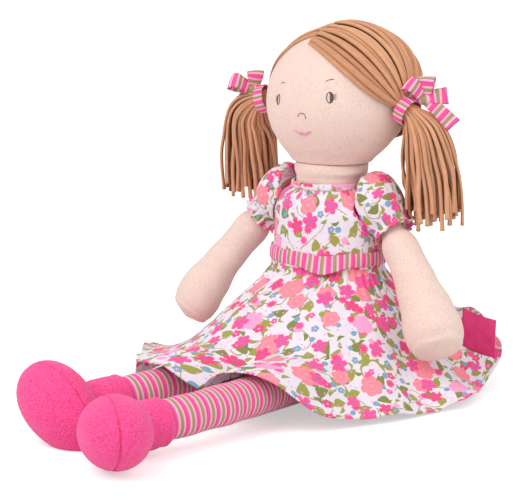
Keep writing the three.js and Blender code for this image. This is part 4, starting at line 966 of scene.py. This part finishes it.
for index, name, out in sides:
    line = legLines[index]
    share, angle = grid(170, 64)
    route = evenSteps(line["route"], share.size)
    wide = legs["radius"] * tableCurve(legs["table"], share[:, 0])
    rings = tube(route, wide, wide, angle.size, (0, 0, 1))
    sag = 0.35 * np.sin(share * 40 + 2 * np.cos(angle + 1)) * np.sin(angle + 2) * smoothStep(0.5, 0.8, share)
    rings = swell(rings, route, sag)
    length = np.linalg.norm(np.diff(route, axis=0), axis=1).sum()
    uv = join(share * length, np.linspace(0, 68, angle.size + 1)[None, :])
    piece = makeMesh("stocking_" + name + "_knit", rings, uv)
    place(piece, stockingStripes, "leg_" + name, ["stocking_" + name], "stocking", fill=0.9)

    # The shaft: a tube with a rolled upper edge and a round lower end
    ankle = line["cuff"] + line["shin"] * legs["shaftLength"]
    t, angle = grid(90, 96)
    share = t[:, 0]
    along = 0.35 + share * (legs["shaftLength"] + legs["shaftRadius"] - 0.35)
    past = np.clip((along - legs["shaftLength"]) / legs["shaftRadius"], 0, 1)
    wide = legs["shaftRadius"] * np.sqrt(np.maximum(1 - past**2, 0))
    wide = wide * (0.9 + 0.12 * smoothStep(0, 0.1, share) - 0.03 * hump(share, 0.2, 0.05))
    route = line["cuff"] + along[:, None] * line["shin"]
    rings = tube(route, wide, wide, angle.size, (0, 0, 1))
    pleats = 0.9 * np.cos(11 * angle + 9 * t) * hump(angle, 4.4, 0.7) * hump(t, 0.42, 0.2)
    rings = swell(rings, route, pleats)
    rings[..., 2] = np.maximum(rings[..., 2], legs["shaftFloor"])
    piece = makeMesh("shoe_cuff_" + name, rings)
    place(piece, fleece, "leg_" + name, ["shoe_shaft_" + name], "fleece", fill=0.9)

    # The foot: an ellipsoid, narrower at its heel, in two parts about a seam
    turnBy, roll = math.radians(feet["turn"][index]), math.radians(feet["roll"][index])
    sole = np.array([-out * math.sin(turnBy), -math.cos(turnBy), 0])
    level = -out * np.cross(sole, [0, 0, 1])
    toe = np.array([0, 0, 1]) * math.cos(roll) + level * math.sin(roll)
    heelward, up = -toe, -sole
    acrossFoot = np.cross(heelward, up)
    centre = ankle + toe * feet["ahead"][index] + sole * feet["below"][index]
    halfX, halfY, halfZ = feet["half"]
    seamTurn = math.acos(feet["seam"]) / math.pi

    # Rings of the ellipsoid between two shares of its half turn: (sin t cos a, sin t sin a, -cos t) times its
    # half sizes, tucked at the seam, pushed out of the shaft's room and kept above the floor
    def footRings(low, high, rows, columns=150):
        t = np.linspace(low, high, rows)[:, None] * np.pi
        angle = grid(rows, columns)[1]
        x, y, z = np.sin(t) * np.cos(angle), np.sin(t) * np.sin(angle), -np.cos(t) + 0 * angle
        tuck = 1 - feet["seamTuck"] * hump(z, -feet["seam"], 0.035)
        pucker = 1 + 0.006 * np.cos(60 * angle) * hump(z, -feet["seam"], 0.1)
        pinch = 1 - feet["taper"] * (1 + y) / 2
        x, y, z = x * pinch * halfX * tuck * pucker, y * halfY * tuck * pucker, z * pinch * halfZ
        points = centre + x[..., None] * acrossFoot + y[..., None] * heelward + z[..., None] * up
        room = legs["shaftRadius"] + feet["room"]
        points = pushOut(points, ankle, -line["shin"], lambda along: room + 0 * along, low=0)
        near = points - ankle
        distance = np.linalg.norm(near, axis=-1, keepdims=True)
        points = np.where(distance < room, ankle + near / np.maximum(distance, 1e-6) * room, points)
        points[..., 2] = np.maximum(points[..., 2], feet["floor"])
        return points

    for kind, part, low, high, rows in (("sole", "sole", 0.0005, seamTurn, 80),
                                        ("top", "upper", seamTurn, 0.9995, 90)):
        piece = makeMesh(f"shoe_{kind}_panel_{name}", footRings(low, high, rows))
        place(piece, fleece, "foot_" + name, [f"shoe_{part}_{name}"], "fleece", fill=0.9)
print("legs and shoes made")

# Skirt: a flared cone that stands on its hem, held up by the legs, with soft folds
skirt = dict(hemRadius=104, hemMiddle=-3, hemReach=24, hemLifts=((58, 31, 34), (220, 15, 28), (247, 12, 14)),
             armDents=((192, 10, 24), (350, 6, 24)), waistHeight=68, foldDepth=6, foldCount=9, foldPhase=40,
             fineFoldShare=0.35, thighCover=2.6, thighFall=30, lift=0.95, floor=0.75, rows=120, columns=420,
             stitches=210, stitchThread=0.14,
             table=((0, 1), (0.02, 0.93), (0.11, 0.84), (0.24, 0.73), (0.39, 0.58), (0.52, 0.43),
                    (0.64, 0.29), (0.76, 0.18), (0.88, 0.085), (1, 0)))
legStops = np.concatenate([evenSteps(line["route"], 90) for line in legLines])


# The height that the cloth keeps over the legs at a place: that of the leg, times a hump of the distance
def legCover(x, y):
    away = np.hypot(x[..., None] - legStops[:, 0], y[..., None] - legStops[:, 1])
    nearest = away.argmin(-1)
    beside = np.maximum(0, away.min(-1) - legs["radius"] / 2) / skirt["thighFall"]
    return (legStops[nearest, 2] + legs["radius"] + skirt["thighCover"]) * hump(beside, 0, 1)


# The sum of humps round the skirt: each has its turn, height and half width
def swells(table, angle):
    total = 0 * angle
    for turn, height, spreadBy in table:
        away = np.arctan2(np.sin(angle - math.radians(turn)), np.cos(angle - math.radians(turn)))
        total = total + height * hump(away, 0, math.radians(spreadBy))
    return total


# The skirt's cloth at an angle and a row of its profile: a lofted cone plus cosine folds, and where the legs
# stand higher the larger of the two heights, rounded by near^2 / (4 depth)
def skirtPoint(angle, row):
    outShare, heightShare = (np.clip(tableCurve(list(enumerate(shares)), row), 0, 1)
                             for shares in zip(*skirt["table"]))
    waist = torsoRadius(skirt["waistHeight"]) + 0.35
    hipCover = legs["hips"][0][2] + legs["radius"] + skirt["thighCover"]
    wave = np.cos(skirt["foldCount"] * angle + math.radians(skirt["foldPhase"]) + np.sin(3 * angle))
    fine = np.cos((skirt["foldCount"] + 4) * angle)
    fold = skirt["foldDepth"] * outShare**1.4 * ((1 + wave) / 2 + skirt["fineFoldShare"] * (1 + fine) / 2)
    held = legCover(skirt["hemRadius"] * np.cos(angle), skirt["hemRadius"] * np.sin(angle)) / hipCover
    rim = skirt["hemRadius"] - skirt["foldDepth"] + skirt["hemReach"] * held
    across = waist + (rim - waist) * outShare + fold * 0.7
    deep = waist * torso["depthShare"] + (rim - waist * torso["depthShare"]) * outShare + fold * 0.7
    middle = skirt["waistHeight"] * leanSlope * (1 - outShare) + skirt["hemMiddle"] * outShare
    top = skirt["waistHeight"] - 0.175
    low = 0.4 + swells(skirt["hemLifts"], angle) * outShare**2
    dent = swells(skirt["armDents"], angle) * np.sin(np.pi * outShare)
    draped = low + (top - low) * heightShare + fold * 0.6 * (1 - heightShare) - dent
    x, y = across * np.cos(angle), deep * np.sin(angle) + middle
    cover = legCover(x, y)
    cover = cover - skirt["foldDepth"] * np.maximum(0, 1 - cover / hipCover)
    near = np.maximum(0, skirt["foldDepth"] - np.abs(draped - cover))
    raised = np.maximum(draped, cover) + near**2 / (4 * skirt["foldDepth"])
    z = raised + (draped - raised) * smoothStep(0.7, 0.95, heightShare)
    return join(x, y, np.minimum(z, top)), outShare


# Normals of a grid that closes round its columns: along x around
def gridNormals(points):
    along = np.gradient(points, axis=0)
    around = np.roll(points, -1, axis=1) - np.roll(points, 1, axis=1)
    return unit(np.cross(along, around))


rows, columns = skirt["rows"], skirt["columns"]
row = np.linspace(0, len(skirt["table"]) - 1, rows)[:, None]
angle = np.pi / 2 + grid(rows, columns)[1]
points, outShare = skirtPoint(angle, row)
normal = gridNormals(points)
normal = normal * np.sign((normal * (points - points.mean((0, 1)))).sum())
gathers = 0.55 * np.cos(52 * angle + 2 * np.sin(5 * angle)) * (1 - smoothStep(0.0, 0.3, outShare))
flutter = 0.5 * np.cos(31 * angle + 2 * np.sin(4 * angle)) * smoothStep(0.9, 1.0, outShare)
hemRoll = 0.35 * hump(outShare, 0.965, 0.012)
points = points + normal * (skirt["lift"] + gathers + flutter - hemRoll)[..., None]
points[..., 2] = np.maximum(points[..., 2], skirt["floor"])
skirtGrid = points
step = np.linalg.norm(np.diff(points, axis=0), axis=-1).mean(1)
slant = np.concatenate([[0], np.cumsum(step)])[:, None]
# The print lies flat on the cut cloth: each row is an arc of that cloth
flatRadius = 40 + slant
flatTurn = (np.linspace(0, 2 * np.pi, columns + 1)[None, :] - np.pi) * 0.77
uv = join(flatRadius * np.sin(flatTurn), flatRadius * np.cos(flatTurn))
skirtPiece = makeMesh("skirt_cloth", points, uv, caps=(False, False))
place(skirtPiece, floral, "torso", ["skirt"], "cotton", wall=0.7)
hemRow = int(0.975 * (rows - 1))
stitchAt = np.arange(skirt["stitches"]) * 2
cloth = points[hemRow] + normal[hemRow] * 0.05
line = np.stack([cloth[stitchAt], (cloth[stitchAt] * 0.35 + cloth[(stitchAt + 1) % columns] * 0.65)], 1)
line = np.stack([line[:, 0] * (1 - s) + line[:, 1] * s for s in (0, 0.33, 0.67, 1)], 1)
thread("hem_stitches", line, skirt["stitchThread"], whiteThread, "torso", 5, (0, 0, 1))
print("skirt made")

# Sash: striped ribbon round the waist, drawn down to a point at the front
sash = dict(low=68.5, high=76.2, lowDrop=3.4, highDrop=1.6, turn=293, lift=3.0, stripeSets=30, standOff=3.4)
share, angle = grid(16, 240)
front = hump(wrapped(angle - math.radians(sash["turn"])), 0, 0.3)
low, high = sash["low"] - sash["lowDrop"] * front, sash["high"] - sash["highDrop"] * front
z = low + (high - low) * share
bulge = 0.5 * np.sin(np.pi * share) + 0.3 * np.cos(22 * angle + 3 * share) * (0.4 + front)
bulge = bulge + sash["standOff"] * front * (1 - share) ** 2
points = torsoPoint(angle, z, sash["lift"] + bulge)
uv = join(np.linspace(0, sash["stripeSets"] * ribbonPeriod, angle.size + 1)[None, :], z[:, :1])
piece = makeMesh("sash", points, uv, caps=(False, False))
place(piece, ribbonStripes, "torso", ["waist_sash"], "ribbon", wall=0.8)

# Label tab: a folded ribbon that stands up from the skirt's side seam
label = dict(turn=25, wide=17, tall=20, lean=6, rowShare=0.83, gap=1.05, sunk=1.2, skirtSlant=66)
rows, columns = 26, 24
u, v = np.linspace(-0.5, 0.5, columns)[None, :], np.linspace(0, 1, rows)[:, None]
rowAt = (label["rowShare"] + u * label["wide"] / label["skirtSlant"]) * (skirt["rows"] - 1)
column = int(round(((label["turn"] - 90) % 360) / 360 * skirt["columns"]))
i0 = rowAt.astype(int)
f = (rowAt - i0)[..., None]
foot = skirtGrid[i0, column] * (1 - f) + skirtGrid[i0 + 1, column] * f
aside = np.array([-math.sin(math.radians(label["turn"])), math.cos(math.radians(label["turn"])), 0])
curl = label["lean"] * v**2 + 0.5 * np.sin(5 * u + 2) * v
raised = label["gap"] - label["sunk"] + v * label["tall"]
patch = foot + raised[..., None] * np.array([0, 0, 1.0]) + curl[..., None] * aside
uv = join(u * label["wide"], v * label["wide"])
piece = makeMesh("label_ribbon", patch, uv, around=False, caps=(False, False))
place(piece, satin, "torso", ["label_tab"], "label", wall=1.1, wallOffset=0)
print("sash and label made")

# Pigtails: strips that leave the tie in a bundle, spread and hang, each cut at its own length.
# The strips are spaced round the bundle by the golden angle.
goldenAngle = 2.39996
pigtail = dict(drop=(67, 60), out=(13.5, 22), back=13, radius=18.5, depthShare=0.78, strips=72, thick=1.18,
               spread=1.07, rows=52, shortest=0.18, sway=(0.7, 0.3),
               route=((0, 0, 0), (0.3, 0.02, 0.03), (0.72, 0.3, 0.16), (0.92, 0.75, 0.5), (1, 1, 1)),
               table=((0, 0.3), (0.02, 0.34), (0.095, 0.36), (0.15, 0.52), (0.22, 0.68), (0.33, 0.82),
                      (0.5, 0.94), (0.75, 1), (1, 1)))


# The middle line of a pigtail from its tie
def pigtailRoute(index, out):
    reach = np.array([out * pigtail["out"][index], pigtail["back"], -pigtail["drop"][index]])
    return smoothRoute(ties[index] + np.array(pigtail["route"]) * reach)


for index, name, out in sides:
    route = pigtailRoute(index, out)
    _, across, up = framesAlong(route, np.array([0, 1, 0.0]))
    count, rows = pigtail["strips"], pigtail["rows"]
    order = (np.arange(count) + 0.5) / count
    radial, spin = np.sqrt(order) * 0.93, np.arange(count) * goldenAngle + index
    length = np.clip(1.0 - seed.uniform(0.0, pigtail["shortest"], count) - 0.04 * (1 - radial), 0.78, 1.0)
    share = np.linspace(0, 1, rows)[None, :] * length[:, None]
    at = share * (routeSteps - 1)
    i0 = np.clip(at.astype(int), 0, routeSteps - 2)
    f = (at - i0)[..., None]
    centre = route[i0] * (1 - f) + route[i0 + 1] * f
    a, b = across[i0], up[i0]
    size = pigtail["radius"] * tableCurve(pigtail["table"], share) * (1 + (pigtail["spread"] - 1) * share)
    size = size - pigtail["thick"] * 0.6
    deep = size * (1 + (pigtail["depthShare"] - 1) * share)
    waveOne, waveTwo = seed.uniform(0, 6.28, (count, 1)), seed.uniform(0, 6.28, (count, 1))
    loose = smoothStep(0.15, 0.6, share)
    slow, quick = pigtail["sway"]
    sway = (slow * np.sin(share * 5 + waveOne) + quick * np.sin(share * 11 + waveTwo)) * loose
    swayDeep = (slow * np.sin(share * 5 + waveTwo) + quick * np.sin(share * 10 + waveOne)) * loose
    lines = centre + ((radial * np.cos(spin))[:, None] * size + sway)[..., None] * a
    lines = lines + ((radial * np.sin(spin))[:, None] * deep + swayDeep)[..., None] * b
    _, upperWay, start = upperArm(index, out)
    for _ in range(2):
        lines = pushOut(lines, start, upperWay, sleeveRoom)
    for _ in range(3):
        lines[:, 1:-1] = (lines[:, :-2] + 2 * lines[:, 1:-1] + lines[:, 2:]) / 4
    narrow = 0.62 + 0.38 * smoothStep(0.05, 0.3, share)
    thick = pigtail["thick"] * seed.uniform(0.88, 1.15, (count, 1)) * narrow
    flare = 1 + 0.14 * smoothStep(0.95, 1.0, np.linspace(0, 1, rows))[None, :]
    wide = thick * flare
    # Each end is drawn in and hollow, as a cut strip of rolled jersey is
    inward = lines[:, -2:-1] - lines[:, -1:]
    inside = lines[:, -1:] + 0.35 * inward / np.linalg.norm(inward, axis=-1, keepdims=True) * 3.2
    reference = -np.cos(spin)[:, None, None] * a - np.sin(spin)[:, None, None] * b
    rings = stripRings(lines, wide, wide * 0.82, reference)
    last = rings[:, -1:]
    tipCentre = lines[:, -1:, None, :]
    hollow = [tipCentre + (last - tipCentre) * 0.62, inside[:, :, None, :] + (last - tipCentre) * 0.5]
    rings = np.concatenate([rings] + hollow, axis=1)
    # The pigtail strips take lighter tones than the cap's strips: painted light that offsets the shade among
    # the bundled strips
    piece = makeMesh("pigtail_strips_" + name, rings, stripUv(rings), values=seed.uniform(0.4, 1.2, count))
    place(piece, jersey, "pigtail_" + name, ["pigtail_" + name], "hair")
print("pigtails made")

# Ribbons: a wrap round each bundle, a knot, two loops and two tails with pinked ends
ribbon = dict(width=9.6, wall=0.7, wrap=5.4, out=(11.5, 10.5), back=(5, -0.5), rise=(5.0, 4.2),
              slope=(1.2, 3.0), knotHalf=(3.4, 4.0, 3.2), pinking=1.1)


# A ribbon along a route: route + width / 2 s across + cup (1 - s^2) rise, half its wall above and below
def ribbonStrip(route, width, reference, twist):
    tangent, across, up = framesAlong(route, np.asarray(reference, float))
    turnBy = np.linspace(0, twist, len(route))[:, None]
    across, up = across * np.cos(turnBy) + up * np.sin(turnBy), up * np.cos(turnBy) - across * np.sin(turnBy)
    section = np.linspace(-1, 1, 13)
    width = np.broadcast_to(np.asarray(width, float), (len(route),))[:, None, None]
    cup = 0.5 * (1 - section**2)[None, :, None] * up[:, None, :]
    middle = route[:, None, :] + width / 2 * section[None, :, None] * across[:, None, :] + cup
    half = ribbon["wall"] / 2 * up[:, None, :]
    return np.concatenate([middle + half, (middle - half)[:, ::-1]], axis=1)


# Places on a ribbon: the length walked along it, and 18 units round it
def ribbonUv(rings, start):
    middle = rings[:, 6]
    length = start + np.concatenate([[0], np.cumsum(np.linalg.norm(np.diff(middle, axis=0), axis=1))])
    return join(length[:, None], np.linspace(0, 18, rings.shape[1] + 1)[None, :])


# A direction given as the photograph shows it: to the right, up and towards the camera
def seenWay(right, up, near):
    return right * np.array([0.799, 0.602, 0]) + up * np.array([-0.105, 0.139, 0.985]) + near * np.array(back)


# Loops run knot + long sin(pi t)^0.8 way + tall / 2 sin(2 pi t) side, with a ripple. Tails run
# knot + long t way, down by droop t^2, with a wave across them and pinked ends.
def bowParts(knot, loops, tails):
    parts = []
    t = np.linspace(0, 1, 60)[:, None]
    for way, flat, long, tall, twist in loops:
        way, flat = unit(np.array(way, float)), np.array(flat, float)
        side = unit(flat - (flat @ way) * way)
        ripple = 0.4 * np.sin(9 * np.pi * t) * np.sin(np.pi * t)
        bowed = tall / 2 * np.sin(2 * np.pi * t) + ripple
        route = knot + long * np.sin(np.pi * t) ** 0.8 * way + bowed * side
        widths = ribbon["width"] * (0.45 + 0.55 * np.sin(np.pi * t[:, 0]) ** 0.5)
        parts.append(ribbonStrip(route, widths, side, twist))
    for way, flat, long, droop, twist in tails:
        way, flat = unit(np.array(way, float)), np.array(flat, float)
        route = knot + long * t * way + droop * t**2 * np.array([0, 0, -1]) + 0.9 * np.sin(5 * t) * flat
        widths = ribbon["width"] * (0.45 + 0.55 * np.sqrt(t[:, 0]))
        strip = ribbonStrip(route, widths, flat, twist)
        zig = ribbon["pinking"] * (np.arange(strip.shape[1]) % 2)
        strip[-1] = strip[-1] - zig[:, None] * unit(route[-1] - route[-2])
        parts.append(strip)
    return parts


for index, name, out in sides:
    tie = ties[index]
    way = unit(pigtailRoute(index, out)[6] - tie)
    inner = pigtail["radius"] * 0.34 + 0.8

    # The wrap: a rolled band carried round the bundle
    ring = np.linspace(0, 2 * np.pi, 97)
    a = unit(np.cross([0, 1, 0], way))
    b = np.cross(way, a)
    middle = tie + way * (0.7 + ribbon["wrap"] / 2)
    section = turns(16)
    slope = ribbon["slope"][index] * np.sin(ring)[:, None]
    radial = inner + 0.55 + 0.5 * np.cos(section)[None, :] + 0.18 * np.cos(7 * ring)[:, None]
    along = ribbon["wrap"] / 2 * 1.25 * np.sin(section)[None, :] + slope * 0.5
    spoke = np.cos(ring)[:, None, None] * a + np.sin(ring)[:, None, None] * b
    rings = middle + radial[..., None] * spoke + along[..., None] * way
    uv = join(ring[:, None] * inner * 1.35, np.linspace(0, 18, 17)[None, :])
    piece = makeMesh("ribbon_wrap_" + name, rings, uv, caps=(False, False))
    place(piece, ribbonStripes, "pigtail_" + name, ["hair_ribbon_" + name], "ribbon")
    knot = tie + np.array([out * ribbon["out"][index], ribbon["back"][index], ribbon["rise"][index]])
    if out > 0:
        loops = ((seenWay(-0.76, 0.65, 0.3), seenWay(0.1, 0.3, 1), 13.8, 6.6, 0.3),
                 (seenWay(0.1, 1, 0.1), seenWay(-0.2, 0.1, 1), 12, 6.1, -0.3))
        tails = ((seenWay(0.95, 0.25, 0.15), seenWay(0, 0.3, 1), 13, 1, 0.35),
                 (seenWay(0.7, -0.55, 0.1), seenWay(-0.2, 0.2, 1), 20, 2, -0.3))
    else:
        loops = ((seenWay(-0.9, 0.35, 0.3), seenWay(0.1, 0.3, 1), 14.5, 6, 0.2),
                 (seenWay(0.12, 1, 0.2), seenWay(0.1, 0, 1), 10.5, 6, -0.3))
        tails = ((seenWay(-0.5, 0.5, -0.7), (0.2, 0.2, 1), 13, 2, 0.5),
                 (seenWay(-0.5, -0.3, -0.8), (0.6, 0.3, 0.8), 16, 4, -0.4))
    for number, strip in enumerate(bowParts(knot, loops, tails)):
        kind = ("loop_one", "loop_two", "tail_one", "tail_two")[number]
        piece = makeMesh(f"ribbon_{kind}_{name}", strip, ribbonUv(strip, number * 5))
        place(piece, ribbonStripes, "pigtail_" + name, slotName="ribbon")

    # The knot: a crumpled ellipsoid
    t, angle = np.linspace(0.01, 0.99, 24)[:, None] * np.pi, grid(24, 36)[1]
    crumple = 1 + 0.1 * np.cos(3 * angle + 1) * np.sin(t)
    wide, deep, tall = ribbon["knotHalf"]
    ball = join(np.sin(t) * np.cos(angle) * wide, np.sin(t) * np.sin(angle) * deep, -np.cos(t) * tall)
    ball = ball * crumple[..., None]
    uv = join(np.linspace(0, 13, 37)[None, :], t * 3)
    piece = makeMesh("ribbon_knot_" + name, ball + knot, uv)
    place(piece, ribbonStripes, "pigtail_" + name, slotName="ribbon")
print("ribbons made")

# Floor, world and lights
studio = dict(floorColour=(0.86, 0.86, 0.86, 1), floorGlow=0.46, floorHalf=9,
              ambientColour=(1.0, 0.99, 0.985, 1), ambient=0.7)


# Shows one shader to the camera and in reflections, and the other to all other rays
def whereSeen(tree, plain, seen, output):
    path = addNode(tree, "LightPath")
    looked = calc(tree, "MAXIMUM", path.outputs["Is Camera Ray"], path.outputs["Is Glossy Ray"])
    choose = addNode(tree, "MixShader", {0: looked, 1: plain.outputs[0], 2: seen.outputs[0]})
    tree.links.new(choose.outputs[0], tree.nodes[output].inputs["Surface"])


floorLook = bpy.data.materials.new("paleFloor")
floorLook.use_nodes = True
tree = floorLook.node_tree
shader = tree.nodes["Principled BSDF"]
shader.inputs["Base Color"].default_value = studio["floorColour"]
shader.inputs["Roughness"].default_value = 0.9
shader.inputs["Specular IOR Level"].default_value = 0.1
glow = addNode(tree, "Emission", {"Color": (1, 1, 1, 1), "Strength": studio["floorGlow"]})
both = addNode(tree, "AddShader", {0: shader.outputs[0], 1: glow.outputs[0]})
whereSeen(tree, shader, both, "Material Output")
floorMesh = bpy.data.meshes.new("floor")
far = studio["floorHalf"]
floorMesh.from_pydata([(-far, -far, 0), (far, -far, 0), (far, far, 0), (-far, far, 0)], [], [(0, 1, 2, 3)])
floorMesh.materials.append(floorLook)
floor = addObject("floor", floorMesh)

world = bpy.data.worlds.new("studio")
bpy.context.scene.world = world
world.use_nodes = True
tree = world.node_tree
ambient = tree.nodes["Background"]
ambient.inputs["Color"].default_value = studio["ambientColour"]
ambient.inputs["Strength"].default_value = studio["ambient"]
white = addNode(tree, "Background", {"Color": (1, 1, 1, 1), "Strength": 1.0})
whereSeen(tree, ambient, white, "World Output")


# A square soft light that faces the doll: angles in degrees, distance and size in metres, power in watts
def softLight(name, azimuth, elevation, far, size, power):
    away = Vector(aimed(azimuth, elevation))
    data = bpy.data.lights.new(name, "AREA")
    data.size, data.energy = size, power
    lamp = addObject(name, data)
    lamp.location = away * far + Vector((0, 0, 0.1))
    lamp.rotation_mode = "QUATERNION"
    lamp.rotation_quaternion = away.to_track_quat("Z", "Y")


softLight("key", -14, 44, 1.6, 1.1, 12.6)
softLight("fill", 85, 38, 1.8, 1.4, 8.4)
bpy.context.scene.view_settings.view_transform = "Standard"
